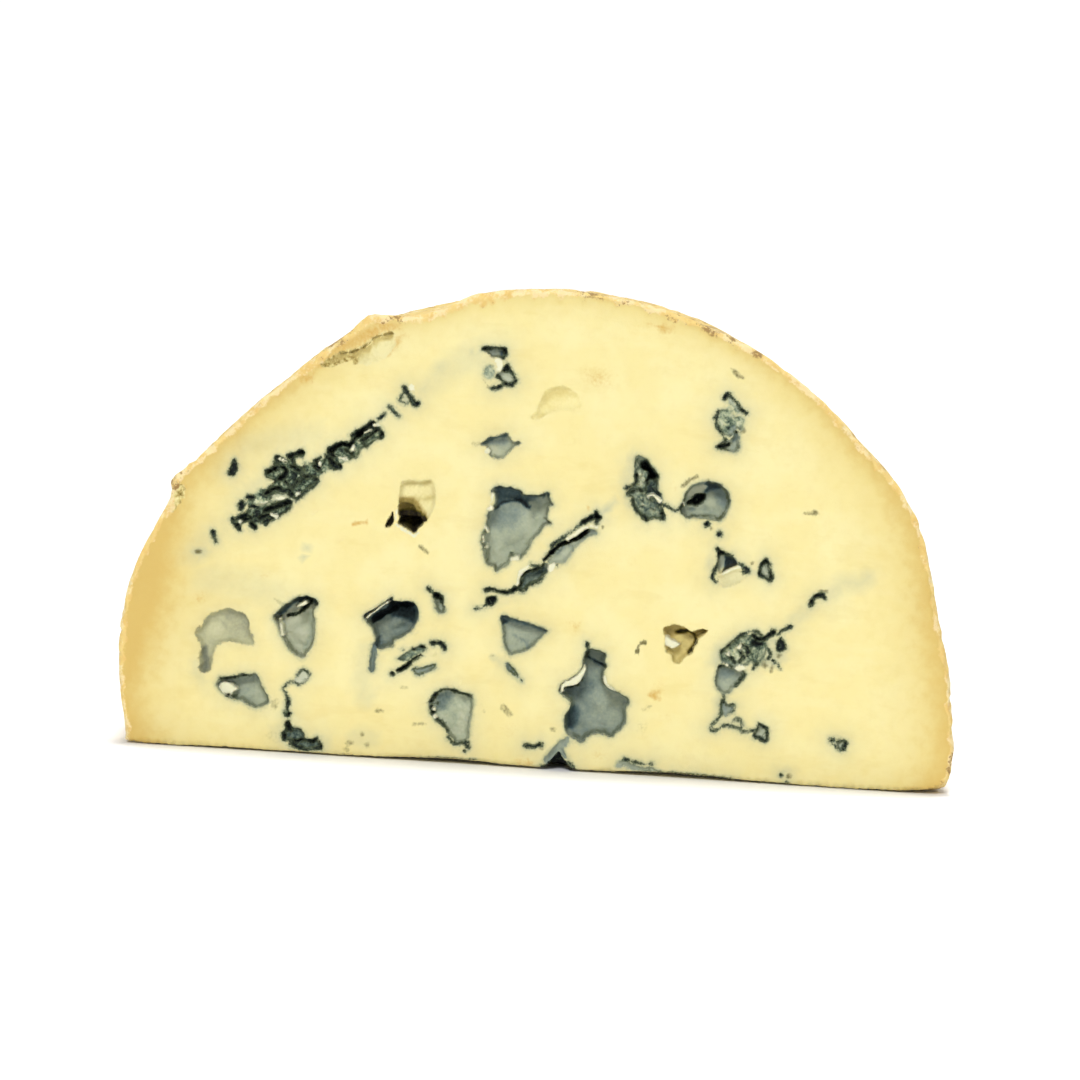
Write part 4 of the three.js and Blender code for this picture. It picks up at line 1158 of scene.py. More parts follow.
@dataclass
class Drum:
    """The drum of cheese that the slice comes from.

    Attributes:
        radius: Its plain radius.
        axis_height: How far its axis lies above the base cut.
        thickness: How thick the slice is.
        swells: Its lumps and dents.
    """

    radius: float = 65.0
    axis_height: float = 9.7
    thickness: float = 40.0
    swells: tuple[Swell, ...] = (
        Swell(15, 7, -0.8, -20, 40),
        Swell(33, 8, 1.2, -20, 45),
        Swell(62, 9, -0.7, 16, 14),
        Swell(88, 12, -0.6, 6, 12),
        Swell(97, 22, -0.9, 20, 26),
        Swell(108, 6, -1.5, -12, 34),
        Swell(116.5, 2.6, 1.2, -17, 7),
        Swell(133, 11, -1.3, -20, 60),
        Swell(151.6, 1.8, 1.0, -18, 5),
        Swell(149.5, 3.0, 0.8, -18, 5),
        Swell(150, 8, 0.8, 12, 12),
        Swell(168, 7, 1.0, -20, 45),
        Swell(187, 6, -1.2, -20, 60),
        Swell(-4, 4.5, 0.8, -20, 14),
    )

    def reach(self, angle: Array, y: Array) -> Array:
        """The rind's radius at angles in degrees and places along the thickness."""
        radius = np.full(len(angle), self.radius)
        for swell in self.swells:
            radius += swell.rise(angle, y)
        return radius

    def foot(self, side: int, y: Array) -> Array:
        """The angle at which the rind meets the base, on the +X side (1) or the -X side (-1).

        It is found step by step, because the swells change the radius there.
        """
        dip = np.zeros(len(y))
        for _ in range(8):
            angle = -dip if side > 0 else 180 + dip
            dip = np.degrees(np.arcsin(self.axis_height / self.reach(angle, y)))
        return -dip if side > 0 else 180 + dip

    def angle(self, share: Array, y: Array) -> Array:
        """The angle at a share of the way round, from 0 at the base's +X end to 1."""
        return self.foot(1, y) * (1 - share) + self.foot(-1, y) * share

    def rim(self, share: Array, y: Array) -> Array:
        """The rind's points (x, z) at shares of the way round."""
        angle = self.angle(share, y)
        radius = self.reach(angle, y)
        turn = np.radians(angle)
        return np.stack([radius * np.cos(turn), self.axis_height + radius * np.sin(turn)], axis=1)


@dataclass
class Rind:
    """The dry skin of the drum.

    Attributes:
        crusts: Where it is brown and rough, with a strength for a height.
        edge: How long the mesh's edges may be on it.
    """

    crusts: tuple[Swell, ...] = (
        Swell(86, 2.2, 0.9, -19, 4), Swell(80, 2.5, 0.7, -18, 3), Swell(74, 2.0, 0.7, -18, 3),
        Swell(69, 2.0, 0.75, -19, 4), Swell(65.5, 1.2, 0.9, -19, 3), Swell(61.5, 1.0, 0.8, -20, 2),
        Swell(113, 1.5, 0.7, -20, 3), Swell(122, 3.5, 0.8, -17, 4), Swell(151.5, 2.6, 0.5, -19, 4),
        Swell(-5, 3, 0.6, -19, 5), Swell(40, 6, 0.7, 4, 8), Swell(95, 8, 0.7, 8, 7),
        Swell(140, 7, 0.8, 10, 8), Swell(172, 6, 0.7, -2, 7), Swell(12, 5, 0.7, 12, 6),
    )
    edge: float = 1.6

    def crust(self, angle: Array, y: Array) -> Array:
        """How brown and rough it is at angles in degrees and places along the thickness."""
        return np.max([crust.rise(angle, y) for crust in self.crusts], axis=0)

    def sink(self, points: Array) -> Array:
        """How far the rind's wrinkles sink in at some points of it."""
        broad = 0.3 * (1.0 + grain(points, 11.0, 2, 21.0))
        folds = 1.0 - np.abs(grain(points * (1.0, 0.6, 1.0), 3.4, 3, 4.0)) * 1.6
        grit = 0.07 * grain(points, 1.0, 2, 8.0)
        return broad + 0.34 * np.clip(folds, 0.0, 1.0) ** 3 + grit


@dataclass(frozen=True)
class Ripening:
    """How the paste ripens towards the rind, and how it is coloured darker towards the base.

    Attributes:
        top: How deep the ripe paste goes at the top of the slice.
        ends: How much deeper it goes a drum's radius to either side.
        foot: How much darker and browner the paste is coloured towards the base.
        foot_height: How high that reaches.
        patch: A darker patch near the rind, coloured as riper paste: its angle and half width in
            degrees, its strength and its depth.
    """

    top: float = 1.9
    ends: float = 6.5
    foot: float = 0.25
    foot_height: float = 2.8
    patch: tuple[float, float, float, float] = (168, 9, 0.75, 7)

    def share(self, to_rind: Array, height: Array, sideways: Array, angle: Array) -> Array:
        """How ripe the paste is.

        Args:
            to_rind: How far each point lies from the rind.
            height: How far above the base.
            sideways: How far from the middle, as a share of the drum's radius.
            angle: Its angle round the drum's axis, in degrees.

        Returns:
            One value a point, from 0 to 1.
        """
        at, half_width, strength, depth = self.patch
        ripe = np.exp(-to_rind / (self.top + self.ends * sideways**2.5))
        ripe += self.foot * np.exp(-height / self.foot_height)
        ripe += strength * bell((angle - at) / half_width) * np.exp(-to_rind / depth)
        return np.minimum(ripe, 1.0)


@dataclass(frozen=True)
class FrontFoot:
    """The lower edge of the front face, which an eye opens and which doesn't lie flat.

    Attributes:
        middle: Where across the slice the eye lies.
        half_width: Half its width.
        height: How high it opens.
        depth: How far in from the front face it reaches.
        lifts: How high the rest of the edge stands, as (x, height).
        lift_depth: How far in that reaches.
        finest: The length of the mesh's edges at the eye.
        clear: How far from its middle they start to grow.
        growth: How fast they grow.
    """

    middle: float = 3.9
    half_width: float = 2.1
    height: float = 2.7
    depth: float = 3.5
    lifts: Outline = ((-64, 0.3), (-60, 0), (-30, 0.12), (-20, 0.35), (-12, 0.6), (-8, 0.45),
                      (-5, 0.2), (7, 0.1), (12, 0.15), (16, 0.4), (21, 0.55), (28, 0.4), (33, 0.1),
                      (50, 0), (56, 0.15), (60, 0.45), (63, 1.0), (65.2, 1.8))
    lift_depth: float = 3.0
    finest: float = 0.45
    clear: float = 4.0
    growth: float = 0.2

    def lift(self, x: Array, from_front: Array, z: Array) -> Array:
        """How far points are lifted, which is less the higher they lie."""
        arch = self.height * np.clip(1 - np.abs(x - self.middle) / self.half_width, 0, 1)
        edge = np.interp(x, *np.array(self.lifts).T) * bell(from_front / self.lift_depth)
        foot = np.maximum(arch * bell(from_front / self.depth), edge)
        return foot * np.clip(1 - z / (1.0 + 2.2 * foot), 0, 1) ** 2

    def edges(self, x: Array, from_front: Array, z: Array) -> Array:
        """How long the mesh's edges may be."""
        away = np.abs(x - self.middle) + from_front + z
        return self.finest + self.growth * np.maximum(away - self.clear, 0.0)


# ---- The slice -------------------------------------------------------------------------------


@dataclass
class Slice:
    """The whole slice of cheese.

    Attributes:
        drum: The drum it comes from.
        rind: Its skin.
        front: Its front cut face, with x across and z up.
        back: Its back cut face, with x across and z up.
        base: The cut that it stands on, with x across and y through it.
        foot: The lower edge of its front face.
        ripening: How its paste ripens.
        cells: How many cells the cube's half width has before it is refined.
        rounding: How far the edges between the faces are worn.
        steep: How much nearer its marks come to a straight border than to the rind.
        wrinkled: How far out the wrinkles of the rind start, where the rind itself is 1.
        thin: Where the rind is thinner: its angle, its half width and how much thinner.
        shift: How far the drum's axis lies from the origin along x.
    """

    drum: Drum
    rind: Rind
    front: CutFace
    back: CutFace
    base: CutFace
    foot: FrontFoot
    ripening: Ripening
    cells: int = 12
    rounding: float = 1.0
    steep: float = 2.5
    wrinkled: float = 0.94
    thin: tuple[float, float, float] = (108, 14, 0.45)
    shift: float = field(init=False)

    def __post_init__(self) -> None:
        """Finds the shift that puts the origin in the middle of the slice."""
        share, y = np.meshgrid(np.linspace(0, 1, 181), np.linspace(-1, 1, 11))
        rim = self.drum.rim(share.ravel(), y.ravel() * self.drum.thickness / 2)
        self.shift = -(rim[:, 0].min() + rim[:, 0].max()) / 2

    def cube(self) -> bmesh.types.BMesh:
        """The cube that is wrapped to the slice: u from -1 to 1, w from -1 to 1, v from 0 to 1."""
        bm = bmesh.new()
        bmesh.ops.create_cube(bm, size=2.0)
        bmesh.ops.translate(bm, vec=(0, 0, 1), verts=bm.verts)
        bmesh.ops.scale(bm, vec=(1, 1, 0.5), verts=bm.verts)
        across = [e for e in bm.edges if abs(e.verts[0].co.x - e.verts[1].co.x) > 1]
        bmesh.ops.subdivide_edges(bm, edges=across, cuts=1, use_grid_fill=True)
        bmesh.ops.subdivide_edges(bm, edges=bm.edges, cuts=self.cells - 1, use_grid_fill=True)
        bmesh.ops.triangulate(bm, faces=bm.faces)
        return bm

    def refine(self, bm: bmesh.types.BMesh, rounds: int = 6) -> None:
        """Divides the edges that are too long for the detail where they lie."""
        for _ in range(rounds):
            points, _, edge = self.shape(self.coordinates(bm))
            ends = np.array([(e.verts[0].index, e.verts[1].index) for e in bm.edges])
            length = np.linalg.norm(points[ends[:, 0]] - points[ends[:, 1]], axis=1)
            long = np.nonzero(length > (edge[ends[:, 0]] + edge[ends[:, 1]]) / 2)[0]
            if not len(long):
                break
            bm.edges.ensure_lookup_table()
            bmesh.ops.subdivide_edges(bm, edges=[bm.edges[i] for i in long], cuts=1)
            bmesh.ops.triangulate(bm, faces=[f for f in bm.faces if len(f.verts) > 3])
            bm.verts.index_update()

    def coordinates(self, bm: bmesh.types.BMesh) -> Array:
        """The cube coordinates (u, w, v) of the vertices."""
        return np.array([v.co[:] for v in bm.verts])

    def wrap(self, cube: Array) -> tuple[Array, Array]:
        """Wraps points of the cube to the plain half round.

        Args:
            cube: Points (u, w, v) of the cube.

        Returns:
            Their places in millimetres, and how far out each lies, from 0 to 1 at the rind.
        """
        u, w, v = cube.T
        out = np.maximum(np.abs(u), v)
        a, b = u / np.maximum(out, TINY), v / np.maximum(out, TINY)
        share = np.where(b < np.abs(a), np.where(a > 0, b / 4, 1 - b / 4), 0.5 - a / 4)
        y = w * self.drum.thickness / 2
        rim = self.drum.rim(share, y) * out[:, None]
        return np.stack([rim[:, 0] + self.shift, y, rim[:, 1]], axis=1), out

    def shape(self, cube: Array) -> tuple[Array, dict[str, Array], Array]:
        """The finished shape at some points of the cube.

        Args:
            cube: Points (u, w, v) of the cube.

        Returns:
            Their places in millimetres, their values for the finish, and how long the edges
            of the mesh may be there.
        """
        points, out = self.wrap(cube)
        plain = points.copy()
        half = self.drum.thickness / 2
        to_rind = (1 - out) * self.drum.radius
        to_face = half - np.abs(plain[:, 1])
        skin = out > 1 - TINY
        total = Surface.clean(plain, math.inf, math.inf)
        for face, side in ((self.front, -1), (self.back, 1)):
            on = np.nonzero(cube[:, 1] * side > 1 - TINY)[0]
            border = np.minimum(to_rind[on], plain[on, 2] * self.steep)
            points[on, 1] -= side * self.sunk(total, face, on, plain, [0, 2], border)
        on = np.nonzero(cube[:, 2] < TINY)[0]
        border = np.minimum(to_rind[on], to_face[on] * self.steep)
        points[on, 2] += self.sunk(total, self.base, on, plain, [0, 1], border)
        x, from_front, z = plain[:, 0], plain[:, 1] + half, plain[:, 2]
        points[:, 2] += self.foot.lift(x, from_front, z)
        self.wrinkle(points, plain, out, skin)
        points[:, 2] = np.maximum(points[:, 2], 0.0)
        total.edge[skin] = np.minimum(total.edge[skin], self.rind.edge)
        edge = np.minimum(total.edge, self.foot.edges(x, from_front, z))
        self.ripen(total.layers, plain, to_rind, skin)
        return points, total.layers, edge

    def sunk(
        self, total: Surface, face: CutFace, on: Array, plain: Array, axes: list[int], border: Array
    ) -> Array:
        """Adds a cut face's marks to the whole slice's, and tells how far its points sink.

        Args:
            total: The whole slice, which gets the face's layers and edge lengths.
            face: The face.
            on: Which of the slice's points lie on it.
            plain: All the slice's points before anything sinks.
            axes: The face's own two directions.
            border: How far each point on the face lies from its border.

        Returns:
            One depth for each point on the face.
        """
        surface = face.surface(plain[on][:, axes])
        for name, values in surface.layers.items():
            if name in DEPTHS:
                total.raise_to(name, on, values)
            else:
                marked = (values > 0) | (surface.layers["cover"] > FAR / 2)
                total.layers[name][on] = np.where(marked, values, total.layers[name][on])
        edge = np.minimum(surface.edge, 0.5 + 0.4 * border)
        total.edge[on] = np.minimum(total.edge[on], edge)
        sink = surface.sink * smooth(0.0, 1.2, border) + self.worn(plain[on], border)
        return np.maximum(sink, 0.0)

    def ripen(self, layers: dict[str, Array], plain: Array, to_rind: Array, skin: Array) -> None:
        """Adds the layers that follow the rind: how near it is, how ripe and how crusted."""
        x, y, z = plain.T
        angle = np.degrees(np.arctan2(z - self.drum.axis_height, x - self.shift))
        at, half_width, share = self.thin
        under = -to_rind * (1.0 - share * bell((angle - at) / half_width))
        layers["skin"] = np.where(skin, self.drum.thickness / 2 - np.abs(y), under)
        ripe = self.ripening.share(to_rind, z, np.abs(x) / self.drum.radius, angle)
        layers["ripe"] = np.where(skin, 1.0, ripe)
        layers["crust"] = self.rind.crust(np.where(angle < -90, angle + 360, angle), y)

    def worn(self, plain: Array, border: Array) -> Array:
        """How far a face sinks towards its border, where a knife and handling wore it."""
        width = self.rounding * (1.0 + 0.5 * grain(plain, 3.0, 2, 2.0))
        return 0.3 * width * np.clip(1 - border / width, 0, 1) ** 2

    def wrinkle(self, points: Array, plain: Array, out: Array, skin: Array) -> None:
        """Wrinkles the rind, and with it the border of the cut faces."""
        near = np.nonzero(out > self.wrinkled)[0]
        axis = np.array([self.shift, 0.0, self.drum.axis_height])
        outward = (plain[near] - axis) * (1, 0, 1)
        outward /= np.linalg.norm(outward, axis=1)[:, None]
        sink = self.rind.sink(plain[near])
        border = self.drum.thickness / 2 - np.abs(plain[near, 1])
        sink += np.where(skin[near], self.worn(plain[near], border), 0.0)
        points[near] -= outward * (sink * smooth(self.wrinkled, 1.0, out[near]))[:, None]


# ---- Finishes --------------------------------------------------------------------------------


@dataclass(frozen=True)
class Value:
    """One number in a material, with Python's operators in place of Math nodes."""

    board: "Board"
    socket: Any

    def _with(self, operation: str, first: Any, second: Any) -> "Value":
        """A Math node of two numbers."""
        node = self.board.node("ShaderNodeMath", {"operation": operation}, {0: first, 1: second})
        return Value(self.board, node.outputs[0])

    def __add__(self, other: Any) -> "Value":
        """The sum."""
        return self._with("ADD", self, other)

    __radd__ = __add__

    def __sub__(self, other: Any) -> "Value":
        """The difference."""
        return self._with("SUBTRACT", self, other)

    def __rsub__(self, other: Any) -> "Value":
        """The difference, the other way round."""
        return self._with("SUBTRACT", other, self)

    def __mul__(self, other: Any) -> "Value":
        """The product."""
        return self._with("MULTIPLY", self, other)

    __rmul__ = __mul__

    def most(self, other: Any) -> "Value":
        """The larger of the two."""
        return self._with("MAXIMUM", self, other)

    def _range(self, kind: str, low: float, high: float) -> "Value":
        """A Map Range node that gives 0 at low and 1 at high."""
        inputs = {"Value": self, "From Min": low, "From Max": high}
        node = self.board.node("ShaderNodeMapRange", {"interpolation_type": kind}, inputs)
        return Value(self.board, node.outputs[0])

    def line(self, low: float, high: float) -> "Value":
        """A straight ramp from 0 at low to 1 at high."""
        return self._range("LINEAR", low, high)

    def step(self, low: float, high: float) -> "Value":
        """A soft step from 0 at low to 1 at high."""
        return self._range("SMOOTHSTEP", low, high)


@dataclass
class Board:
    """The nodes of one material.

    Attributes:
        material: The material.
    """

    material: bpy.types.Material

    def __post_init__(self) -> None:
        """Clears the board and finds the place in millimetres."""
        self.material.use_nodes = True
        self.tree = self.material.node_tree
        self.tree.nodes.clear()
        here = self.node("ShaderNodeTexCoord", {}, {}).outputs["Object"]
        inputs = {0: here, "Scale": 1 / MM}
        self.place = self.node("ShaderNodeVectorMath", {"operation": "SCALE"}, inputs).outputs[0]

    def node(self, kind: str, settings: dict[str, Any], inputs: dict[Any, Any]) -> Any:
        """Adds a node.

        Args:
            kind: The node's type.
            settings: Its settings, which are made first.
            inputs: The value or link of each socket, by name or place.

        Returns:
            The node.
        """
        made = self.tree.nodes.new(kind)
        for name, value in settings.items():
            setattr(made, name, value)
        for key, value in inputs.items():
            socket = made.inputs[key]
            if isinstance(value, Value):
                self.tree.links.new(value.socket, socket)
            elif isinstance(value, bpy.types.NodeSocket):
                self.tree.links.new(value, socket)
            else:
                socket.default_value = value
        return made

    def attribute(self, name: str) -> Value:
        """What the mesh keeps under a name."""
        made = self.node("ShaderNodeAttribute", {"attribute_name": name}, {})
        return Value(self, made.outputs["Fac"])

    def noise(
        self, size: float, detail: float = 3.0, rough: float = 0.55,
        stretch: tuple[float, float, float] = (1.0, 1.0, 1.0),
    ) -> Value:
        """Noise from 0 to 1.

        Args:
            size: The size of its largest lumps, in millimetres.
            detail: How many smaller sizes of lump are added.
            rough: How strong those are.
            stretch: How closely the lumps stand along x, y and z: below 1 draws them out.

        Returns:
            The noise.
        """
        settings = {"operation": "MULTIPLY"}
        drawn = self.node("ShaderNodeVectorMath", settings, {0: self.place, 1: stretch}).outputs[0]
        inputs = {"Vector": drawn, "Scale": 1 / size, "Detail": detail, "Roughness": rough}
        return Value(self, self.node("ShaderNodeTexNoise", {}, inputs).outputs[0])

    def crumbs(self, size: float, feature: str) -> Value:
        """A distance in crumbs of a size: F1 to the nearest middle, DISTANCE_TO_EDGE to a crack."""
        inputs = {"Vector": self.place, "Scale": 1 / size}
        node = self.node("ShaderNodeTexVoronoi", {"feature": feature}, inputs)
        return Value(self, node.outputs["Distance"])

    def mix(self, first: Any, second: Any, share: Any) -> Any:
        """A mix of two colours, all of the second where share is 1."""
        colours = [(*c, 1.0) if isinstance(c, tuple) else c for c in (first, second)]
        settings = {"data_type": "RGBA"}
        made = self.node("ShaderNodeMix", settings, {0: share, 6: colours[0], 7: colours[1]})
        return made.outputs[2]

    def ramp(self, colours: tuple[Colour, ...], value: Value) -> Any:
        """A row of colours that are spread evenly from 0 to 1."""
        made, spans = colours[0], len(colours) - 1
        for place, colour in enumerate(colours[1:]):
            made = self.mix(made, colour, value.line(place / spans, (place + 1) / spans))
        return made


@dataclass(frozen=True)
class CheeseFinish:
    """Paste, mould and rind, in linear colours.

    Attributes:
        core: The paste in the middle.
        margin: The riper paste near the rind.
        amber: The paste right under the rind.
        knife: The paste where the knife smeared it.
        greened: Paste right beside mould.
        blued: Paste that mould has stained from further off.
        olive: Olive spots.
        ochre: Ochre spots.
        pale: Flakes and crumbs.
        cool: The linings of pockets, from pale to black; the darkest also colour the painted shadow
            along the tops of pockets.
        warm: Bare hollows, from pale to black; the darkest are painted shade in deep bare holes.
        green: Crumbly mould, from pale to black.
        rim: The line inside the outline of a pocket.
        vein_rim: The border of a vein.
        vein: Its middle.
        tan, rust, bark, bloom: The rind's colours.
    """

    core: Colour = (0.730, 0.637, 0.290)
    margin: Colour = (0.60, 0.46, 0.14)
    amber: Colour = (0.57, 0.39, 0.105)
    knife: Colour = (0.742, 0.667, 0.333)
    greened: Colour = (0.30, 0.335, 0.20)
    blued: Colour = (0.335, 0.37, 0.28)
    olive: Colour = (0.12, 0.105, 0.03)
    ochre: Colour = (0.56, 0.35, 0.085)
    pale: Colour = (0.67, 0.655, 0.46)
    cool: tuple[Colour, ...] = (
        (0.49, 0.50, 0.36), (0.372, 0.405, 0.288), (0.186, 0.232, 0.2), (0.059, 0.098, 0.103),
        (0.008, 0.014, 0.016),
    )
    warm: tuple[Colour, ...] = (
        (0.74, 0.66, 0.32), (0.585, 0.49, 0.19), (0.345, 0.258, 0.078), (0.107, 0.084, 0.004),
        (0.010, 0.006, 0.001),
    )
    green: tuple[Colour, ...] = (
        (0.53, 0.54, 0.34), (0.30, 0.345, 0.215), (0.115, 0.158, 0.098), (0.028, 0.045, 0.028),
        (0.005, 0.008, 0.007),
    )
    rim: Colour = (0.078, 0.095, 0.042)
    vein_rim: Colour = (0.064, 0.082, 0.042)
    vein: Colour = (0.005, 0.010, 0.009)
    tan: Colour = (0.70, 0.53, 0.20)
    rust: Colour = (0.62, 0.41, 0.12)
    bark: Colour = (0.25, 0.15, 0.055)
    bloom: Colour = (0.79, 0.70, 0.45)

    def material(self) -> bpy.types.Material:
        """Builds the material."""
        board = Board(bpy.data.materials.new("blue_cheese"))
        fine, middle, broad = board.noise(0.45, 4), board.noise(1.7), board.noise(9.0, 2)
        rag = (fine - 0.5) * 0.75 + (board.noise(0.22, 2) - 0.5) * 0.35
        cover = board.attribute("cover") + rag
        dark = board.attribute("dark") + rag * 1.1
        pale = board.attribute("pale") + rag
        wander = (middle - 0.5) * 2.0 + (board.noise(5.0, 2) - 0.5) * 1.6
        skin = (board.attribute("skin") + wander + rag * 0.7).step(-1.0, -0.55)
        colour = self._paste(board, fine, middle, broad)
        near = dark.most(cover - board.attribute("warm") * 9.0)
        colour = board.mix(colour, self.greened, near.step(-0.75, 0.1) * 0.55)
        floor = self._floor(board, cover, fine, middle, broad)
        colour = board.mix(colour, floor, cover.step(-0.22, 0.12))
        vein = board.mix(self.vein_rim, self.vein, dark.step(-0.02, 0.3))
        speck = board.mix(vein, self.green[2], board.noise(0.55, 3).step(0.56, 0.66) * 0.6)
        colour = board.mix(colour, speck, dark.step(-0.3, 0.08))
        colour = board.mix(colour, self.pale, pale.step(-0.15, 0.1))
        colour = board.mix(colour, self._rind(board, fine, middle, broad), skin)
        mould = cover.step(-0.1, 0.1).most(dark.step(-0.1, 0.1))
        rough = 0.46 + 0.36 * mould.most(skin)
        height = fine * 0.6 + board.noise(0.16, 2) * 0.4 + skin * board.crumbs(0.8, "F1") * 0.6
        bump = board.node(
            "ShaderNodeBump", {}, {"Strength": 0.5, "Distance": 0.00015, "Height": height}
        )
        shader = board.node(
            "ShaderNodeBsdfPrincipled",
            {},
            {
                "Base Color": colour,
                "Roughness": rough,
                "Normal": bump.outputs[0],
                "Specular IOR Level": 0.3,
                "Subsurface Weight": 0.18,
                "Subsurface Radius": (1.0, 0.72, 0.3),
                "Subsurface Scale": 0.0012,
            },
        )
        board.node("ShaderNodeOutputMaterial", {}, {"Surface": shader.outputs[0]})
        return board.material

    def _paste(self, board: Board, fine: Value, middle: Value, broad: Value) -> Any:
        """The paste, riper towards the rind, with its stains."""
        ripe = board.attribute("ripe") + (broad - 0.5) * 0.22 + (middle - 0.5) * 0.16
        ripe = ripe.line(0.05, 0.95)
        colour = board.mix(self.core, self.knife, broad.step(0.4, 0.65))
        streak = board.noise(5.0, 4, 0.6, stretch=(0.35, 1.0, 1.0))
        colour = board.mix(colour, self.knife, streak.step(0.52, 0.68) * 0.6)
        colour = board.mix(colour, self.margin, (1.0 - streak.step(0.34, 0.46)) * 0.16)
        colour = board.mix(colour, self.margin, (middle - 0.4).step(0.0, 0.4) * 0.11)
        colour = board.mix(colour, self.margin, ripe)
        colour = board.mix(colour, self.amber, (ripe + (middle - 0.5) * 0.5).step(0.4, 1.15) * 0.85)
        halo = board.attribute("halo") * (0.6 + fine * 0.4 + middle * 0.4)
        colour = board.mix(colour, self.blued, halo.line(0.0, 1.0) * 0.74)
        for name, stain in (("ochre", self.ochre), ("olive", self.olive)):
            spot = board.attribute(name)
            share = (spot + (fine - 0.5) * 1.1 + (middle - 0.5) * 0.5).step(0.06, 1.15)
            colour = board.mix(colour, stain, share * spot.line(0.0, 0.4))
        return colour

    def _floor(
        self, board: Board, cover: Value, fine: Value, middle: Value, broad: Value
    ) -> Any:
        """The floors of pockets, with the dark line inside their rims."""
        crumbs, warm = board.attribute("crumbs"), board.attribute("warm")
        clump = board.noise(1.15, 4, 0.6)
        grit = (clump - 0.47) * 3.4 + (0.16 - board.crumbs(0.9, "DISTANCE_TO_EDGE")) * 1.2
        tone = board.attribute("tone") + (middle - 0.5) * 0.2 + (fine - 0.5) * 0.22
        tone = tone + crumbs * grit
        colour = board.mix(
            board.ramp(self.cool, tone), board.ramp(self.green, tone), (crumbs * 1.5).line(0.0, 1.0)
        )
        band = cover.step(-0.1, 0.1) * (1.0 - cover.step(0.2, 0.55))
        rim = band * board.attribute("rim") * board.noise(3.0, 2).step(0.28, 0.55)
        colour = board.mix(colour, self.rim, rim * 0.95)
        return board.mix(colour, board.ramp(self.warm, tone), warm)

    def _rind(self, board: Board, fine: Value, middle: Value, broad: Value) -> Any:
        """The rind, tan to rust, with bark-brown crusts and white bloom."""
        outer = board.attribute("skin").step(0.3, 5.0)
        colour = board.mix(self.tan, self.rust, middle.step(0.35, 0.7) * 0.75)
        patches = ((broad - 0.5) + (middle - 0.5) * 0.6).step(0.04, 0.2) * outer * 0.6
        crust = board.attribute("crust") + (middle - 0.5) * 1.5 + (fine - 0.5) * 1.8
        crust = crust.step(0.4, 0.8)
        colour = board.mix(colour, self.bark, patches.most(crust * 0.85))
        bloom = (fine - 0.5) * 0.45 + (board.noise(2.6, 4) - 0.5) - outer * 0.1
        bloom = bloom.step(-0.06, 0.1) * (1.0 - crust) * (0.5 + outer * 0.35)
        return board.mix(colour, self.bloom, bloom)


# ---- Making the piece ------------------------------------------------------------------------


def put(name: str, data: bpy.types.ID) -> bpy.types.Object:
    """Puts an object with some data into the scene, at the origin."""
    made = bpy.data.objects.new(name, data)
    bpy.context.scene.collection.objects.link(made)
    return made


def put_mesh(name: str, bm: bmesh.types.BMesh) -> bpy.types.Object:
    """Turns a bmesh into an object."""
    mesh = bpy.data.meshes.new(name)
    bm.to_mesh(mesh)
    bm.free()
    return put(name, mesh)


def make_slice(cheese: Slice) -> bpy.types.Object:
    """Builds and dresses the slice.

    Args:
        cheese: What to build.

    Returns:
        The finished object.
    """
    bm = cheese.cube()
    cheese.refine(bm)
    points, layers, _ = cheese.shape(cheese.coordinates(bm))
    for vertex, point in zip(bm.verts, (points * MM).tolist()):
        vertex.co = point
    for face in bm.faces:
        face.smooth = True
    bmesh.ops.recalc_face_normals(bm, faces=bm.faces)
    made = put_mesh("blue_cheese_slice", bm)
    for name, values in layers.items():
        layer = made.data.attributes.new(name, "FLOAT", "POINT")
        layer.data.foreach_set("value", values.astype(np.float32))
    made.data.materials.append(CheeseFinish().material())
    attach(made, "root")
    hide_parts(NODE)
    return made


# ---- The studio ------------------------------------------------------------------------------


@dataclass(frozen=True)
class Lamp:
    """A large soft lamp, far away.

    Attributes:
        name: Where it stands.
        way: The way that its light travels.
        strength: How strong it is.
        size: How large it looks from the cheese, in degrees.
    """

    name: str
    way: tuple[float, float, float]
    strength: float
    size: float

    def hang(self) -> None:
        """Hangs the lamp."""
        data = bpy.data.lights.new(self.name, "SUN")
        data.energy, data.angle = self.strength, math.radians(self.size)
        made = put(self.name, data)
        made.rotation_euler = Vector(self.way).to_track_quat("-Z", "Y").to_euler()


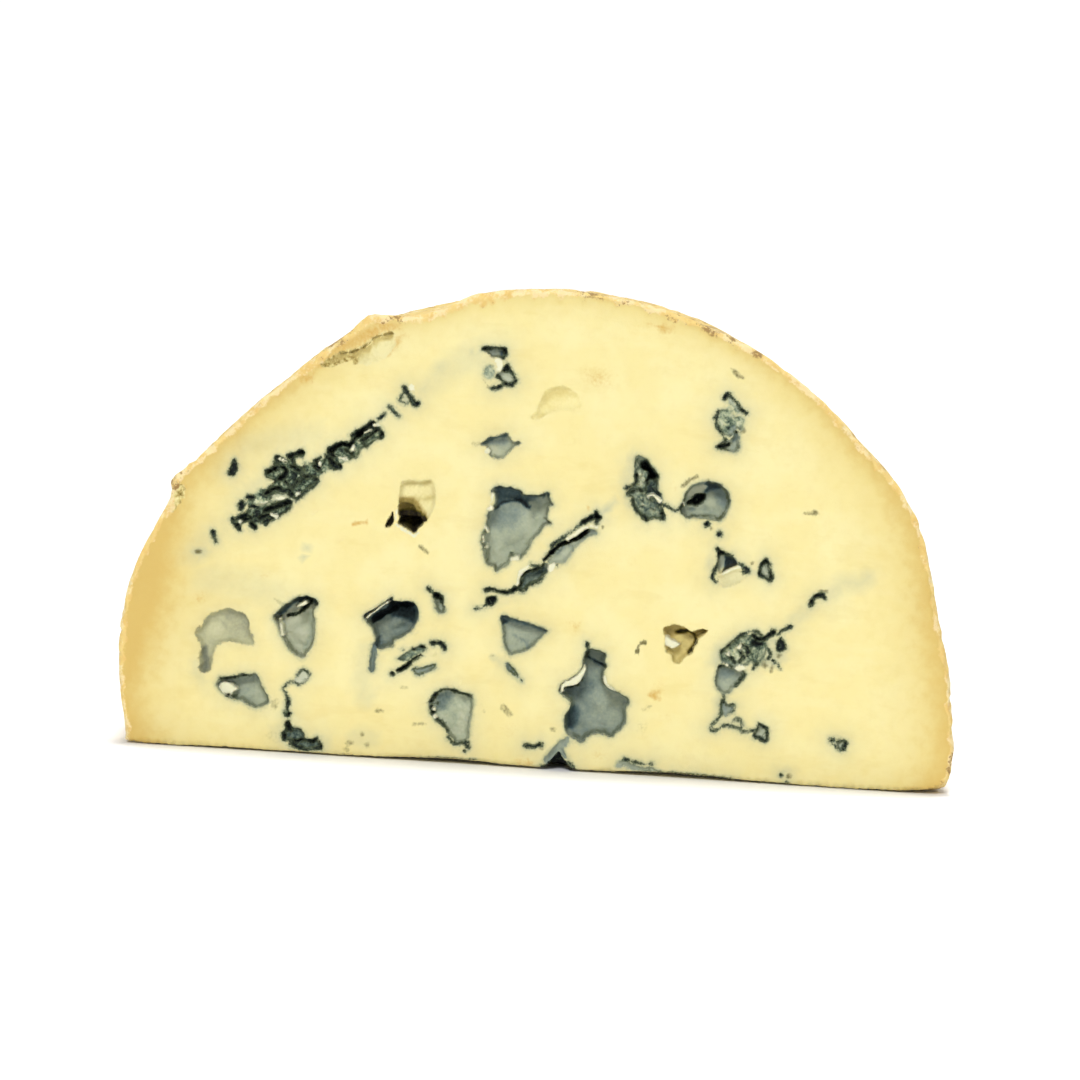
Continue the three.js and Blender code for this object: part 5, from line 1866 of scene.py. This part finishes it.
@dataclass
class Studio:
    """A white table, soft lamps and the camera.

    Attributes:
        target: Where the camera looks, in millimetres.
        distance: How far it stands from there, in metres.
        frame_width: How wide the picture is at that place, in metres.
        elevation: How far it looks down, in degrees.
        roll: How far it is turned about its own view, in degrees.
        sky: The height at which the room's light fades, the height at which it has faded, and
            its strength below and above them.
        lamps: Its lamps.
    """

    target: tuple[float, float, float] = (-1.1, -20.0, 35.5)
    distance: float = 0.66
    frame_width: float = 0.1666
    elevation: float = 4.3
    roll: float = 3.7
    sky: tuple[float, float, float, float] = (0.12, 0.5, 1.05, 0.12)
    lamps: tuple[Lamp, ...] = (
        Lamp("front", (0.12, 0.78, -0.61), 2.06, 16),
        Lamp("top", (0.0, -0.12, -1.0), 2.0, 14),
        Lamp("back", (-0.35, -0.8, -0.5), 0.7, 25),
    )

    def floor(self) -> None:
        """A large white table top."""
        bm = bmesh.new()
        bmesh.ops.create_grid(bm, x_segments=1, y_segments=1, size=4.0)
        bmesh.ops.translate(bm, vec=(0, 0, -0.0001), verts=bm.verts)
        made = put_mesh("table", bm)
        board = Board(bpy.data.materials.new("white_table"))
        shade = board.noise(40.0, 2) * 0.01
        colour = board.mix((0.93, 0.93, 0.94), (0.9, 0.9, 0.91), shade)
        shader = board.node(
            "ShaderNodeBsdfPrincipled", {}, {"Base Color": colour, "Roughness": 0.9}
        )
        board.node("ShaderNodeOutputMaterial", {}, {"Surface": shader.outputs[0]})
        made.data.materials.append(board.material)

    def camera(self) -> None:
        """The camera, which sees the front face a little from above."""
        data = bpy.data.cameras.new("camera")
        data.sensor_width = 36.0
        data.lens = data.sensor_width * self.distance / self.frame_width
        made = put("camera", data)
        lean = math.radians(self.elevation)
        back = Vector((0, -math.cos(lean), math.sin(lean)))
        turn = (-back).to_track_quat("-Z", "Y").to_matrix().to_4x4()
        turn = turn @ Matrix.Rotation(math.radians(self.roll), 4, "Z")
        place = Vector(self.target) * MM + back * self.distance
        made.matrix_world = Matrix.Translation(place) @ turn
        bpy.context.scene.camera = made

    def build(self) -> None:
        """Builds the whole studio."""
        scene = bpy.context.scene
        scene.view_settings.view_transform = "Standard"
        scene.world = bpy.data.worlds.new("white_room")
        scene.world.use_nodes = True
        sky = scene.world.node_tree
        background = sky.nodes["Background"]
        background.inputs["Color"].default_value = (1.0, 1.0, 1.0, 1.0)
        way = sky.nodes.new("ShaderNodeTexCoord")
        split = sky.nodes.new("ShaderNodeSeparateXYZ")
        fade = sky.nodes.new("ShaderNodeMapRange")
        fade.interpolation_type = "SMOOTHSTEP"
        for name, value in zip(("From Min", "From Max", "To Min", "To Max"), self.sky):
            fade.inputs[name].default_value = value
        sky.links.new(way.outputs["Generated"], split.inputs[0])
        sky.links.new(split.outputs["Z"], fade.inputs["Value"])
        sky.links.new(fade.outputs[0], background.inputs["Strength"])
        self.floor()
        for lamp in self.lamps:
            lamp.hang()
        self.camera()


def report(made: Iterable[bpy.types.Object]) -> None:
    """Logs the size of each piece."""
    for piece in made:
        piece.data.calc_loop_triangles()
        LOG.info("%s: %d triangles", piece.name, len(piece.data.loop_triangles))


def main() -> None:
    """Builds the slice and its studio."""
    logging.basicConfig(level=logging.INFO, format="%(name)s: %(message)s")
    cheese = Slice(
        Drum(),
        Rind(),
        CutFace(FRONT, seed=1.0, finest=0.43, coarsest=2.4),
        CutFace(BACK, seed=31.0, finest=1.0, coarsest=2.6),
        CutFace(BASE, seed=57.0, finest=1.3, coarsest=2.6),
        FrontFoot(),
        Ripening(),
    )
    report([make_slice(cheese)])
    Studio().build()


if __name__ == "__main__":
    main()
